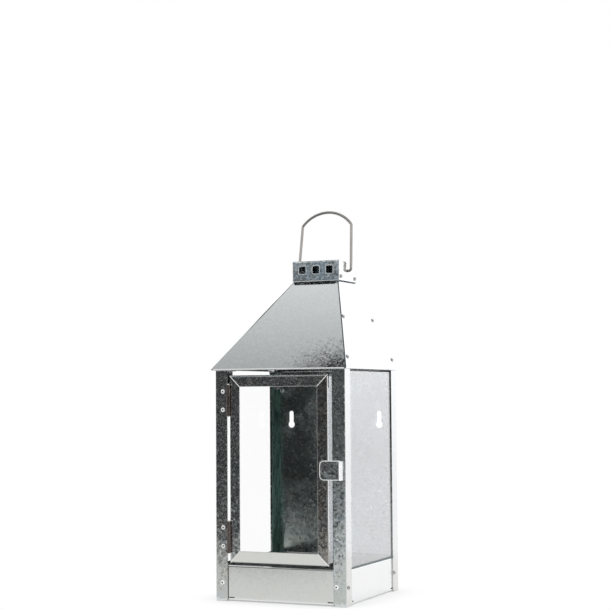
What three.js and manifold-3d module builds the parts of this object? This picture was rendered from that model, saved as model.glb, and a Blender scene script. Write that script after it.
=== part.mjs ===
// Wall and table lantern of galvanised sheet steel, with glass on three sides.
// Four corner posts stand on a folded base pan. The back is a flat plate with two
// keyholes, the roof slopes to the front and to both sides, and a vented hood sits on it
// at the back. The glazed door hangs on two pin hinges, and a wire bail swings on the hood.
// Millimetres, +Z up, -Y is the door side, +Y the wall side. Z = 0 is the plane of the feet.

import * as THREE from 'three';
import { mergeVertices } from 'three/addons/utils/BufferGeometryUtils.js';
import Module from 'manifold-3d';

const wasm = await Module();
wasm.setup();

// Sheet, bends and clearances
const sheet = 0.8;
const postSheet = 1.0;
const bendRadius = 1.2;
const tightBend = 0.85;
const bendSteps = 3;
const seatGap = 0.1;
const looseGap = 0.3;

// Body
const bodyWidth = 150;
const bodyDepth = 150;
const eaveHeight = 243.7;

// Corner posts
const postFrontLeg = 14;
const postSideLegFront = 15;
const postSideLegRear = 16;
const footChamfer = 3;
const tieHeight = 20;
const tieWidth = 10.6;
const tieFlange = 9;
const doorStopGap = 0.8;

// Base pan
const panFoot = 1.35;
const panTop = 37;
const panLip = 5;
const drainSlotWidth = 6.4;
const drainSlotHeight = 1.2;
const drainSlotFoot = 3.2;
const drainSlotFromPost = 1;

// Back plate and its keyholes
const backPlateInset = 5.2;
const keyholeSpacing = 107;
const keyholeHeight = 183.3;
const keyholeHeadRadius = 3.9;
const keyholeSlotWidth = 5.2;
const keyholeTotalHeight = 19.4;

// Roof
const eaveFrontOverhang = 5;
const eaveSideOverhang = 3.8;
const eaveFlange = 12;
const hoodSeatHeight = 343.2;
const hipFlange = 13;
const hoodFlangeHeight = 8;
const joggleHeight = 2;
const draughtSlotDepth = 3.8;
const draughtSlotRadius = 3.5;

// Vented hood
const hoodWidth = 56;
const hoodDepth = 51.1;
const hoodHeight = 22.4;
const hoodSeatGap = 0.5;
const hoodBackInset = 0.2;
const ventCount = 3;
const ventPitch = 16.4;
const ventWidth = 8;
const ventHeight = 8.4;
const ventCornerRadius = 1.6;
const ventAboveHoodEdge = 12.5;

// Wire bail
const wireRadius = 1.5;
const wireHoleClearance = 0.4;
const bailPivotAboveHoodEdge = 12;
const bailLegOffset = 4;
const bailTaper = 2;
const bailShoulderHeight = 53.9;
const bailHeight = 69;
const bailFootBend = 2.6;
const bailShoulderBend = 4;
const bailInnerEnd = 6;
const bailLean = THREE.MathUtils.degToRad(7.5);

// Glass
const glassThickness = 2;
const glassTopGap = 2.2;
const beadFrontWidth = 11;
const beadRearWidth = 15;
const beadFrontFoot = 10;
const beadRearFoot = 4.2;

// Door
const hingeGap = 3.2;
const latchGap = 5;
const doorBottomGap = 3.6;
const doorTopGap = 5.5;
const doorProud = 0.8;
const frameWidth = 11.9;
const frameDepth = 11.2;
const frameBend = 1.9;
const frameReturn = 6.4;
const glassRebate = 7;
const mitreGap = 0.3;

// Hinges
const hingeLength = 33;
const upperHingeDrop = 26.8;
const lowerHingeRise = 26.7;
const knuckleRadius = 2;
const knuckleGap = 0.4;
const pinClearance = 0.3;
const barrelStandOff = 2.7;
const postLeafWidth = 9;
const doorLeafWidth = 6.8;
const pinHeadRadius = 1.6;
const pinHeadHeight = 1;
const pinTail = 0.8;

// Latch tab
const latchHeight = 138.9;
const latchTabHeight = 19.5;
const latchOverlap = 9;
const latchSheet = 1;
const latchEdgeInset = 1.7;
const latchPull = 11.6;
const latchCornerRadius = 4.4;

// Places worked out from the sizes above
const sideFace = bodyWidth / 2;
const backFace = bodyDepth / 2;
const frontFace = -bodyDepth / 2;
const panSide = sideFace - postSheet - seatGap;
const panBack = backFace - postSheet - seatGap;
const doorwayEdge = sideFace - postFrontLeg;
const doorLeft = -doorwayEdge + hingeGap;
const doorRight = doorwayEdge - latchGap;
const doorBottom = panTop + doorBottomGap;
const doorTop = eaveHeight - doorTopGap;
const doorFront = frontFace - doorProud;
const upperHingeHeight = doorTop - upperHingeDrop;
const lowerHingeHeight = doorBottom + lowerHingeRise;
const latchBack = doorFront - seatGap;
const frontReach = latchBack - latchSheet - latchPull;
const hinge = {
  x: doorLeft + seatGap,
  y: doorFront - barrelStandOff,
};
const eaveFront = frontFace - eaveFrontOverhang;
const eaveSide = sideFace + eaveSideOverhang;
const hood = {
  side: hoodWidth / 2,
  back: backFace - hoodBackInset,
  front: backFace - hoodBackInset - hoodDepth,
  bottom: hoodSeatHeight + hoodSeatGap,
  top: hoodSeatHeight + hoodSeatGap + hoodHeight,
};
const bailPivot = {
  y: (hood.front + hood.back) / 2,
  z: hood.bottom + bailPivotAboveHoodEdge,
};
const farAway = 3 * (bodyWidth + bodyDepth + hood.top);

// Finishes
const galvanised = new THREE.MeshStandardMaterial({ color: 0x9aa3a6, metalness: 0.9, roughness: 0.32 });
const brightSheet = new THREE.MeshStandardMaterial({ color: 0xc4c8c7, metalness: 0.9, roughness: 0.24 });
const darkPlate = new THREE.MeshStandardMaterial({ color: 0x4e5b5e, metalness: 0.9, roughness: 0.28 });
const hingeSteel = new THREE.MeshStandardMaterial({ color: 0x6b6462, metalness: 0.85, roughness: 0.4 });
const wireSteel = new THREE.MeshStandardMaterial({ color: 0x8b8580, metalness: 0.95, roughness: 0.25 });
const clearGlass = new THREE.MeshStandardMaterial({
  color: 0xd4e2de, metalness: 0, roughness: 0.05, transparent: true, opacity: 0.35,
});

// A closed three.js geometry becomes a solid that can be joined and cut
function toSolid(geometry) {
  const bare = geometry.index ? geometry.toNonIndexed() : geometry.clone();
  bare.deleteAttribute('normal');
  bare.deleteAttribute('uv');
  const merged = mergeVertices(bare, 1e-5);
  return new wasm.Manifold(new wasm.Mesh({
    numProp: 3,
    vertProperties: new Float32Array(merged.attributes.position.array),
    triVerts: new Uint32Array(merged.index.array),
  }));
}

function toGeometry(solid) {
  const mesh = solid.getMesh();
  const geometry = new THREE.BufferGeometry();
  geometry.setAttribute('position', new THREE.BufferAttribute(new Float32Array(mesh.vertProperties), 3));
  geometry.setIndex(new THREE.BufferAttribute(new Uint32Array(mesh.triVerts), 1));
  return geometry;
}

// The same piece for the other side of the lantern
function mirroredInX(geometry) {
  const twin = geometry.clone();
  twin.applyMatrix4(new THREE.Matrix4().makeScale(-1, 1, 1));
  const corners = twin.index.array;
  for (let i = 0; i < corners.length; i += 3) {
    [corners[i], corners[i + 1]] = [corners[i + 1], corners[i]];
  }
  return twin;
}

function block([x0, x1], [y0, y1], [z0, z1]) {
  const geometry = new THREE.BoxGeometry(x1 - x0, y1 - y0, z1 - z0);
  geometry.translate((x0 + x1) / 2, (y0 + y1) / 2, (z0 + z1) / 2);
  return toSolid(geometry);
}

// Half of space on the inner side of a plane, as a large block
function behindPlane(point, outward) {
  const geometry = new THREE.BoxGeometry(farAway, farAway, farAway);
  geometry.translate(0, 0, -farAway / 2);
  const turn = new THREE.Quaternion().setFromUnitVectors(new THREE.Vector3(0, 0, 1), outward);
  geometry.applyQuaternion(turn);
  geometry.translate(point.x, point.y, point.z);
  return toSolid(geometry);
}

// Section planes: the first two axes carry the drawing, the third is the run
const sectionXY = new THREE.Matrix4();
const sectionYZ = new THREE.Matrix4().makeBasis(
  new THREE.Vector3(0, 1, 0), new THREE.Vector3(0, 0, 1), new THREE.Vector3(1, 0, 0));
const sectionXZ = new THREE.Matrix4().makeBasis(
  new THREE.Vector3(1, 0, 0), new THREE.Vector3(0, 0, 1), new THREE.Vector3(0, -1, 0));

function extruded(shape, plane, start, length, curveSegments = 8) {
  const geometry = new THREE.ExtrudeGeometry(shape, { depth: length, bevelEnabled: false, curveSegments });
  geometry.translate(0, 0, start);
  geometry.applyMatrix4(plane);
  return toSolid(geometry);
}

// Outline of a strip folded along a path, thickened to the right of its direction.
// Every bend keeps its radius on the drawn skin and a concentric one on the other skin.
function foldedStrip(path, thickness, radius) {
  const points = path.map(([u, v]) => new THREE.Vector2(u, v));
  const rightOf = (direction) => new THREE.Vector2(direction.y, -direction.x);
  const skin = [];
  points.forEach((corner, i) => {
    const before = i > 0 ? corner.clone().sub(points[i - 1]).normalize() : null;
    const after = i < points.length - 1 ? points[i + 1].clone().sub(corner).normalize() : null;
    if (!before || !after) {
      skin.push({ point: corner, normal: rightOf(before || after) });
      return;
    }
    const turn = Math.atan2(before.cross(after), before.dot(after));
    const side = turn < 0 ? 1 : -1;
    const setback = radius * Math.tan(Math.abs(turn) / 2);
    const start = corner.clone().addScaledVector(before, -setback);
    const centre = start.clone().addScaledVector(rightOf(before), side * radius);
    for (let step = 0; step <= bendSteps; step += 1) {
      const normal = rightOf(before).rotateAround(new THREE.Vector2(), turn * step / bendSteps);
      const point = centre.clone().addScaledVector(normal, -side * radius);
      skin.push({ point, normal });
    }
  });
  const inner = skin.map(({ point, normal }) => point.clone().addScaledVector(normal, thickness));
  return new THREE.Shape([...skin.map(({ point }) => point), ...inner.reverse()]);
}

function roundedRectangle(width, height, radius) {
  const shape = new THREE.Shape();
  const [x, y] = [width / 2, height / 2];
  shape.moveTo(-x + radius, -y);
  shape.lineTo(x - radius, -y);
  shape.absarc(x - radius, -y + radius, radius, -Math.PI / 2, 0);
  shape.lineTo(x, y - radius);
  shape.absarc(x - radius, y - radius, radius, 0, Math.PI / 2);
  shape.lineTo(-x + radius, y);
  shape.absarc(-x + radius, y - radius, radius, Math.PI / 2, Math.PI);
  shape.lineTo(-x, -y + radius);
  shape.absarc(-x + radius, -y + radius, radius, Math.PI, 1.5 * Math.PI);
  return shape;
}

// Right-angled corner cut: a triangle drawn in a section plane and run right through
function cornerCut(plane, [u, v], [du, dv], start, length) {
  const shape = new THREE.Shape([
    new THREE.Vector2(u - du, v - dv),
    new THREE.Vector2(u + 2 * du, v - dv),
    new THREE.Vector2(u - du, v + 2 * dv),
  ]);
  return extruded(shape, plane, start, length);
}

// Right-hand corner post. back is 1 for a rear post and -1 for a front post.
function cornerPost(back, sideLeg) {
  const face = back * backFace;
  const path = [
    [sideFace - postFrontLeg, face],
    [sideFace, face],
    [sideFace, face - back * sideLeg],
  ];
  const section = foldedStrip(back > 0 ? path : path.reverse(), postSheet, bendRadius);
  const post = extruded(section, sectionXY, 0, eaveHeight - seatGap);
  const legEnd = [sideFace - postFrontLeg, 0];
  const sideEnd = [face - back * sideLeg, 0];
  return toGeometry(post
    .subtract(cornerCut(sectionXZ, legEnd, [footChamfer, footChamfer], -face - 3, 6))
    .subtract(cornerCut(sectionYZ, sideEnd, [back * footChamfer, footChamfer], sideFace - 3, 6)));
}

// Pan folded up from one sheet: floor, four walls with inward lips, seams at the corners
// and a drain slot beside every post
function basePan() {
  const walls = [[panSide, panBack], [panBack, panSide]];
  const slotEnd = doorwayEdge - drainSlotFromPost;
  let pan = block([-panSide + sheet, panSide - sheet], [-panBack + sheet, panBack - sheet],
    [panFoot, panFoot + sheet]);
  for (let quarter = 0; quarter < 4; quarter += 1) {
    const [reach, halfRun] = walls[quarter % 2];
    const section = foldedStrip([
      [reach - panLip, panTop],
      [reach, panTop],
      [reach, panFoot],
      [reach - panLip, panFoot],
    ], sheet, bendRadius);
    let wall = extruded(section, sectionXZ, -halfRun, 2 * halfRun);
    for (const middle of [slotEnd - drainSlotWidth / 2, drainSlotWidth / 2 - slotEnd]) {
      wall = wall.subtract(block([reach - 2 * sheet, reach + sheet],
        [middle - drainSlotWidth / 2, middle + drainSlotWidth / 2],
        [drainSlotFoot, drainSlotFoot + drainSlotHeight]));
    }
    const geometry = toGeometry(wall)
      .applyMatrix4(new THREE.Matrix4().makeRotationZ(quarter * Math.PI / 2));
    pan = pan.add(toSolid(geometry).subtract(cornerSeams()));
  }
  return toGeometry(pan);
}

// Thin upright blades along the pan's corner mitres
function cornerSeams() {
  const length = 2 * (panLip + sheet);
  const blades = [];
  for (const x of [-panSide, panSide]) {
    for (const y of [-panBack, panBack]) {
      const geometry = new THREE.BoxGeometry(2 * length, looseGap, 2 * panTop);
      geometry.rotateZ(x * y > 0 ? Math.PI / 4 : -Math.PI / 4);
      geometry.translate(x, y, 0);
      blades.push(toSolid(geometry));
    }
  }
  return blades.reduce((solid, blade) => solid.add(blade));
}

function keyhole(x) {
  const shape = new THREE.Shape();
  const slotHalf = keyholeSlotWidth / 2;
  const entry = Math.asin(slotHalf / keyholeHeadRadius);
  const slotTop = keyholeTotalHeight - keyholeHeadRadius - slotHalf;
  shape.absarc(0, 0, keyholeHeadRadius, Math.PI / 2 + entry, Math.PI / 2 - entry + 2 * Math.PI);
  shape.absarc(0, slotTop, slotHalf, 0, Math.PI);
  shape.closePath();
  const cutter = extruded(shape, sectionXZ, -backFace - 5, 10);
  return toSolid(toGeometry(cutter).translate(x, 0, keyholeHeight));
}

function backPlate() {
  const side = sideFace - backPlateInset;
  const plate = block([-side, side], [panBack - sheet, panBack],
    [panTop + seatGap, eaveHeight - seatGap]);
  return toGeometry(plate
    .subtract(keyhole(-keyholeSpacing / 2))
    .subtract(keyhole(keyholeSpacing / 2)));
}

// Side panes stand on the pan's lips, behind the posts' side legs
const paneOuter = panSide;
const paneInner = paneOuter - glassThickness;
const paneBottom = panTop + seatGap;
const paneTop = eaveHeight - glassTopGap;

function sidePane() {
  return toGeometry(block([paneInner, paneOuter],
    [frontFace + postSheet + looseGap, backFace - postSheet - looseGap], [paneBottom, paneTop]));
}

// Upright angles that hold the side panes against the posts
function glassBead(back) {
  const reach = paneInner - seatGap;
  const seat = back > 0 ? panBack - sheet - seatGap : -panBack;
  const width = back > 0 ? beadRearWidth : beadFrontWidth;
  const foot = back > 0 ? beadRearFoot : beadFrontFoot;
  const path = [
    [reach - foot, seat],
    [reach, seat],
    [reach, seat - back * width],
  ];
  const section = foldedStrip(back > 0 ? path : path.reverse(), sheet, tightBend);
  return extruded(section, sectionXY, paneBottom, paneTop - paneBottom);
}

function notchedBead() {
  const bead = glassBead(-1);
  const leafZones = [upperHingeHeight, lowerHingeHeight].map((height) => block(
    [0, paneInner - seatGap - sheet - looseGap], [-panBack - 1, -panBack + 2],
    [height - hingeLength / 2 - looseGap, height + hingeLength / 2 + looseGap]));
  return mirroredInX(toGeometry(leafZones.reduce((solid, zone) => solid.subtract(zone), bead)));
}

// Corner tie that fastens the roof to a post: two upright legs and a flange on top.
// The front ties stand just behind the closed door and stop it.
function roofTie(back) {
  const side = paneInner - seatGap - sheet - seatGap;
  const seat = back > 0
    ? panBack - 2 * (sheet + seatGap)
    : doorFront + frameDepth + doorStopGap;
  const top = eaveHeight - seatGap;
  const path = [
    [side - tieWidth, seat],
    [side, seat],
    [side, seat - back * tieFlange],
  ];
  const section = foldedStrip(back > 0 ? path : path.reverse(), sheet, bendRadius);
  const legs = extruded(section, sectionXY, top - tieHeight, tieHeight);
  const flangeRun = [seat - back * sheet / 2, seat - back * tieFlange].sort((a, b) => a - b);
  return toGeometry(legs.add(
    block([side - tieWidth, side - sheet / 2], flangeRun, [top - sheet, top])));
}

// The side slopes end in flanges that stand inside the hood
const roofTopSide = hood.side - sheet - seatGap;
const roofTop = hood.bottom + hoodFlangeHeight;

// Roof planes. Each has a point on its outer face and an outward normal.
function roofPlanes() {
  const frontRun = hood.front - eaveFront;
  const sideRun = eaveSide - roofTopSide;
  const rise = hoodSeatHeight - eaveHeight;
  return {
    front: {
      point: new THREE.Vector3(0, hood.front, hoodSeatHeight),
      normal: new THREE.Vector3(0, -rise, frontRun).normalize(),
    },
    right: {
      point: new THREE.Vector3(roofTopSide, 0, hoodSeatHeight),
      normal: new THREE.Vector3(rise, 0, sideRun).normalize(),
    },
    left: {
      point: new THREE.Vector3(-roofTopSide, 0, hoodSeatHeight),
      normal: new THREE.Vector3(-rise, 0, sideRun).normalize(),
    },
  };
}


function inside(plane, depth) {
  return behindPlane(plane.point.clone().addScaledVector(plane.normal, -depth), plane.normal);
}

// Band of sheet lying a given depth under a roof plane
function layerUnder(plane, depth, thickness) {
  return inside(plane, depth).subtract(inside(plane, depth + thickness));
}

const planes = roofPlanes();
const lapDepth = sheet + seatGap;

// Side slope, with an eave flange below and a flange that stands inside the hood above
function roofSide() {
  const section = foldedStrip([
    [roofTopSide, roofTop],
    [roofTopSide, hoodSeatHeight],
    [eaveSide, eaveHeight],
    [eaveSide - eaveFlange, eaveHeight],
  ], sheet, tightBend);
  const long = extruded(section, sectionXZ, -backFace, backFace - eaveFront);
  const behindFront = long.intersect(inside(planes.front, 0));
  const eaveCorner = eaveFlange + looseGap;
  const foldKeep = 2.2;
  const flangeZone = [0, eaveSide - foldKeep];
  const layer = [eaveHeight - 1, eaveHeight + sheet + looseGap];
  const hoodZone = [hoodSeatHeight - 3, roofTop + 1];
  return toGeometry(behindFront
    .subtract(block(flangeZone, [eaveFront - 1, eaveFront + eaveCorner], layer))
    .subtract(block(flangeZone, [backFace - eaveCorner, backFace + 1], layer))
    .subtract(block([0, hood.side], [eaveFront, hood.front + sheet + looseGap], hoodZone))
    .subtract(block([0, hood.side], [hood.back - 2 * sheet - looseGap, backFace + 1],
      [hoodSeatHeight - looseGap, roofTop + 1])));
}

// Flanges of the front or back sheet that lie under one side slope
function hipFlanges(zone) {
  return [planes.left, planes.right]
    .map((plane) => layerUnder(plane, lapDepth, sheet).intersect(zone))
    .reduce((solid, flange) => solid.add(flange));
}

function betweenSides(solid) {
  return solid.intersect(inside(planes.left, lapDepth)).intersect(inside(planes.right, lapDepth));
}

function eaveTrim(solid) {
  const cornerKeep = eaveSide - 3;
  const layer = [eaveHeight - 1, eaveHeight + 2];
  return solid
    .subtract(block([cornerKeep, eaveSide + 1], [eaveFront - 1, backFace + 1], layer))
    .subtract(block([-eaveSide - 1, -cornerKeep], [eaveFront - 1, backFace + 1], layer));
}

function roofFront() {
  const section = foldedStrip([
    [eaveFront + eaveFlange, eaveHeight],
    [eaveFront, eaveHeight],
    [hood.front, hoodSeatHeight],
  ], sheet, tightBend);
  const slope = betweenSides(extruded(section, sectionYZ, -eaveSide, 2 * eaveSide));
  const flangeZone = inside(planes.front, 0)
    .subtract(inside(planes.front, hipFlange))
    .intersect(block([-eaveSide, eaveSide], [eaveFront, backFace],
      [eaveHeight + sheet + looseGap, hoodSeatHeight - looseGap]));
  const slotWidth = 2 * (roofTopSide - sheet);
  const slot = roundedRectangle(slotWidth, 4 * draughtSlotDepth, draughtSlotRadius);
  const draughtSlot = toGeometry(extruded(slot, sectionXZ, -hood.front - 10, 20))
    .translate(0, 0, hoodSeatHeight + draughtSlotDepth);
  return toGeometry(eaveTrim(slope.add(hipFlanges(flangeZone))).subtract(toSolid(draughtSlot)));
}

// Upright back of the roof, joggled forward where it stands inside the hood
function roofBack() {
  const inHood = hood.back - sheet - seatGap;
  const section = foldedStrip([
    [inHood, roofTop],
    [inHood, hoodSeatHeight],
    [backFace, hoodSeatHeight - joggleHeight],
    [backFace, eaveHeight],
    [backFace - eaveFlange, eaveHeight],
  ], sheet, tightBend);
  const sheetWide = extruded(section, sectionYZ, -eaveSide, 2 * eaveSide);
  const inHoodSide = roofTopSide - sheet - looseGap;
  const shoulders = [-1, 1].map((side) => block(
    side > 0 ? [inHoodSide, eaveSide] : [-eaveSide, -inHoodSide],
    [hood.front, backFace + 1], [hoodSeatHeight - joggleHeight, roofTop + 1]));
  const slope = betweenSides(sheetWide);
  const flangeZone = block([-eaveSide, eaveSide], [backFace - hipFlange, backFace],
    [eaveHeight + sheet + looseGap, hoodSeatHeight - joggleHeight]);
  const joined = eaveTrim(slope.add(hipFlanges(flangeZone)));
  return toGeometry(shoulders.reduce((solid, cut) => solid.subtract(cut), joined));
}

// Hood folded down from one sheet, open below, with draught vents in front
function chimneyHood() {
  const foldKeep = bendRadius + 0.1;
  const frontBack = extruded(foldedStrip([
    [hood.back, hood.bottom],
    [hood.back, hood.top],
    [hood.front, hood.top],
    [hood.front, hood.bottom],
  ].reverse(), sheet, bendRadius), sectionYZ, -hood.side + foldKeep, hoodWidth - 2 * foldKeep);
  const sides = extruded(foldedStrip([
    [-hood.side, hood.bottom],
    [-hood.side, hood.top],
    [hood.side, hood.top],
    [hood.side, hood.bottom],
  ], sheet, bendRadius), sectionXZ, -hood.back + sheet + looseGap,
  hoodDepth - 2 * (sheet + looseGap));
  const wallTop = hood.top - foldKeep;
  let shell = frontBack.add(sides);
  for (const y of [hood.front, hood.back - sheet]) {
    shell = shell.add(block([-hood.side, hood.side], [y, y + sheet], [hood.bottom, wallTop]));
  }
  const vent = roundedRectangle(ventWidth, ventHeight, ventCornerRadius);
  for (let i = 0; i < ventCount; i += 1) {
    const x = (i - (ventCount - 1) / 2) * ventPitch;
    const cutter = toGeometry(extruded(vent, sectionXZ, -hood.front - 3, 6, 3));
    shell = shell.subtract(toSolid(cutter.translate(x, 0, hood.bottom + ventAboveHoodEdge)));
  }
  const wireHole = new THREE.CylinderGeometry(
    wireRadius + wireHoleClearance, wireRadius + wireHoleClearance, 2 * hoodWidth, 20);
  wireHole.rotateZ(Math.PI / 2);
  wireHole.translate(0, bailPivot.y, bailPivot.z);
  return toGeometry(shell.subtract(toSolid(wireHole)));
}

// A wire centre line given by its own stations, closer together in the bends
class WireRoute extends THREE.Curve {
  constructor(stations) {
    super();
    this.stations = stations;
  }

  getPoint(t, target = new THREE.Vector3()) {
    const place = Math.min(Math.max(t, 0), 1) * (this.stations.length - 1);
    const i = Math.min(Math.floor(place), this.stations.length - 2);
    return target.lerpVectors(this.stations[i], this.stations[i + 1], place - i);
  }

  getTangent(t, target = new THREE.Vector3()) {
    const last = this.stations.length - 1;
    const i = Math.round(Math.min(Math.max(t, 0), 1) * last);
    const before = this.stations[Math.max(i - 1, 0)];
    const after = this.stations[Math.min(i + 1, last)];
    return target.subVectors(after, before).normalize();
  }

  getPointAt(u, target) {
    return this.getPoint(u, target);
  }

  getTangentAt(u, target) {
    return this.getTangent(u, target);
  }
}

// Points round a corner between two directions, on an arc of the given radius
function bentCorner(before, corner, after, radius, steps) {
  const enter = corner.clone().sub(before).normalize();
  const leave = after.clone().sub(corner).normalize();
  const turn = enter.angleTo(leave);
  const setback = radius * Math.tan(turn / 2);
  const start = corner.clone().addScaledVector(enter, -setback);
  const inward = leave.clone().addScaledVector(enter, -leave.dot(enter)).normalize();
  const points = [];
  for (let i = 0; i <= steps; i += 1) {
    const angle = turn * i / steps;
    points.push(start.clone()
      .addScaledVector(enter, radius * Math.sin(angle))
      .addScaledVector(inward, radius * (1 - Math.cos(angle))));
  }
  return points;
}

// Wire bail, drawn upright with its pivot at the origin
function bailHandle() {
  const footHalf = hood.side + bailLegOffset;
  const shoulderHalf = footHalf - bailTaper;
  const rise = bailHeight - bailShoulderHeight;
  const archRadius = (shoulderHalf ** 2 + rise ** 2) / (2 * rise);
  const archHalf = Math.asin(shoulderHalf / archRadius);
  const onArch = (angle) => new THREE.Vector3(
    archRadius * Math.sin(angle), 0, bailHeight - archRadius * (1 - Math.cos(angle)));
  const end = new THREE.Vector3(hood.side - sheet - bailInnerEnd, 0, 0);
  const foot = new THREE.Vector3(footHalf, 0, 0);
  const shoulder = new THREE.Vector3(shoulderHalf, 0, bailShoulderHeight);
  const archSteps = 9;
  const archStart = archHalf * (1 - 1 / archSteps);
  const half = [
    end,
    ...bentCorner(end, foot, shoulder, bailFootBend, 6),
    ...bentCorner(foot, shoulder, onArch(archStart), bailShoulderBend, 4),
  ];
  for (let i = 1; i < archSteps; i += 1) {
    half.push(onArch(archHalf * (1 - i / archSteps)));
  }
  const other = half.map((point) => new THREE.Vector3(-point.x, point.y, point.z)).reverse();
  const stations = [...half, onArch(0), ...other];
  const section = new THREE.Shape().absarc(0, 0, wireRadius, 0, 2 * Math.PI);
  return toGeometry(toSolid(new THREE.ExtrudeGeometry(section, {
    steps: stations.length - 1,
    curveSegments: 10,
    extrudePath: new WireRoute(stations),
  })));
}

// One side of the mitred door frame: a folded channel that also grips the glass.
// Drawn with X inward from the outer edge, Y backward and Z along the run.
const rebateFront = sheet + seatGap;
const rebateBack = rebateFront + glassThickness + seatGap;

function doorFrameSide(length) {
  const section = foldedStrip([
    [frameWidth, 0],
    [0, 0],
    [0, frameDepth],
    [frameReturn, frameDepth],
    [frameReturn, rebateBack],
  ], sheet, frameBend);
  const mitre = new THREE.Vector3(1, 0, -1).normalize();
  const farMitre = new THREE.Vector3(1, 0, 1).normalize();
  const near = behindPlane(mitre.clone().multiplyScalar(-mitreGap / 2), mitre);
  const far = behindPlane(
    new THREE.Vector3(0, 0, length).addScaledVector(farMitre, -mitreGap / 2), farMitre);
  return toGeometry(extruded(section, sectionXY, 0, length).intersect(near).intersect(far));
}

function doorGlass() {
  return toGeometry(block(
    [doorLeft + frameWidth - glassRebate, doorRight - frameWidth + glassRebate],
    [doorFront + rebateFront, doorFront + rebateFront + glassThickness],
    [doorBottom + frameWidth - glassRebate, doorTop - frameWidth + glassRebate],
  ));
}

// Hinges: a barrel of three knuckles, the middle one on the door
const knuckleLength = (hingeLength - 2 * knuckleGap) / 3;
const pinRadius = knuckleRadius - sheet - pinClearance;

function barrel(start, length) {
  const ring = new THREE.Shape().absarc(0, 0, knuckleRadius, 0, 2 * Math.PI);
  ring.holes.push(new THREE.Path().absarc(0, 0, knuckleRadius - sheet, 0, 2 * Math.PI, true));
  return extruded(ring, sectionXY, start, length, 10);
}

// Drawn about the hinge axis, with Z = 0 at the middle of the barrel
function postLeaf() {
  const behindPost = -panBack - hinge.y;
  const section = foldedStrip([
    [-knuckleRadius, 0],
    [-knuckleRadius, behindPost],
    [-doorwayEdge - postLeafWidth - hinge.x, behindPost],
  ], sheet, bendRadius / 2);
  const bore = new THREE.CylinderGeometry(
    knuckleRadius - sheet, knuckleRadius - sheet, 2 * hingeLength, 20);
  bore.rotateX(Math.PI / 2);
  const doorKnuckle = block(
    [-doorwayEdge - hinge.x + seatGap, knuckleRadius + 1],
    [-knuckleRadius - 1, behindPost + sheet + 1],
    [-knuckleLength / 2 - knuckleGap, knuckleLength / 2 + knuckleGap],
  );
  return toGeometry(extruded(section, sectionXY, -hingeLength / 2, hingeLength)
    .add(barrel(-hingeLength / 2, hingeLength))
    .subtract(toSolid(bore))
    .subtract(doorKnuckle));
}

function doorLeaf() {
  const right = doorLeft - seatGap - hinge.x;
  const back = knuckleRadius + 2 * looseGap + doorLeafWidth;
  const faces = [right - sheet, right];
  const tongue = block(faces, [knuckleRadius - sheet / 2, back],
    [-knuckleLength / 2, knuckleLength / 2]);
  const plate = block(faces, [knuckleRadius + 2 * looseGap, back], [-hingeLength / 2, hingeLength / 2]);
  return toGeometry(barrel(-knuckleLength / 2, knuckleLength).add(tongue).add(plate));
}

// Headed pin that runs through all three knuckles
function hingePin() {
  const bottom = -hingeLength / 2 - pinTail;
  const top = hingeLength / 2 + looseGap;
  const profile = [
    [0, bottom],
    [pinRadius - looseGap, bottom],
    [pinRadius, bottom + looseGap],
    [pinRadius, top],
    [pinHeadRadius, top],
    [pinHeadRadius, top + pinHeadHeight / 2],
    [pinHeadRadius * 0.7, top + pinHeadHeight],
    [0, top + pinHeadHeight],
  ].map(([r, z]) => new THREE.Vector2(r, z));
  const geometry = new THREE.LatheGeometry(profile, 20);
  geometry.rotateX(Math.PI / 2);
  return toGeometry(toSolid(geometry));
}

// Tab on the latch side: laps the post as the door's stop and folds out as a finger pull
function latchTab() {
  const left = doorRight - latchOverlap;
  const right = sideFace - latchEdgeInset;
  const section = foldedStrip([
    [left, latchBack],
    [right, latchBack],
    [right, frontReach],
  ], latchSheet, bendRadius + latchSheet / 2);
  const height = [latchHeight - latchTabHeight / 2, latchTabHeight];
  const tab = extruded(section, sectionXY, ...height);
  const outline = roundedRectangle(2 * (right - left), latchTabHeight, latchCornerRadius);
  const window = extruded(outline, sectionXZ, -latchBack - 2, -frontReach + latchBack + 4);
  const corners = toGeometry(window).translate(right, 0, latchHeight);
  return toGeometry(tab.intersect(toSolid(corners)));
}

// Assembly
const lantern = new THREE.Group();
const door = new THREE.Group();

function place(parent, name, geometry, material, position = [0, 0, 0], rotation = [0, 0, 0]) {
  const mesh = new THREE.Mesh(geometry, material);
  mesh.name = name;
  mesh.position.set(...position);
  mesh.rotation.set(...rotation);
  parent.add(mesh);
  return mesh;
}

function placePair(name, geometry, material) {
  place(lantern, `${name}_right`, geometry, material);
  place(lantern, `${name}_left`, mirroredInX(geometry), material);
}

placePair('post_front', cornerPost(-1, postSideLegFront), galvanised);
placePair('post_rear', cornerPost(1, postSideLegRear), galvanised);
place(lantern, 'base_pan', basePan(), brightSheet);
place(lantern, 'back_plate', backPlate(), darkPlate);
placePair('glass', sidePane(), clearGlass);
place(lantern, 'glass_bead_front_right', toGeometry(glassBead(-1)), galvanised);
place(lantern, 'glass_bead_front_left', notchedBead(), galvanised);
placePair('glass_bead_rear', toGeometry(glassBead(1)), galvanised);
placePair('roof_tie_front', roofTie(-1), galvanised);
placePair('roof_tie_rear', roofTie(1), galvanised);
place(lantern, 'roof_front', roofFront(), brightSheet);
placePair('roof_side', roofSide(), brightSheet);
place(lantern, 'roof_back', roofBack(), galvanised);
place(lantern, 'chimney_hood', chimneyHood(), galvanised);
place(lantern, 'bail_handle', bailHandle(), wireSteel,
  [0, bailPivot.y, bailPivot.z], [-bailLean, 0, 0]);

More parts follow.
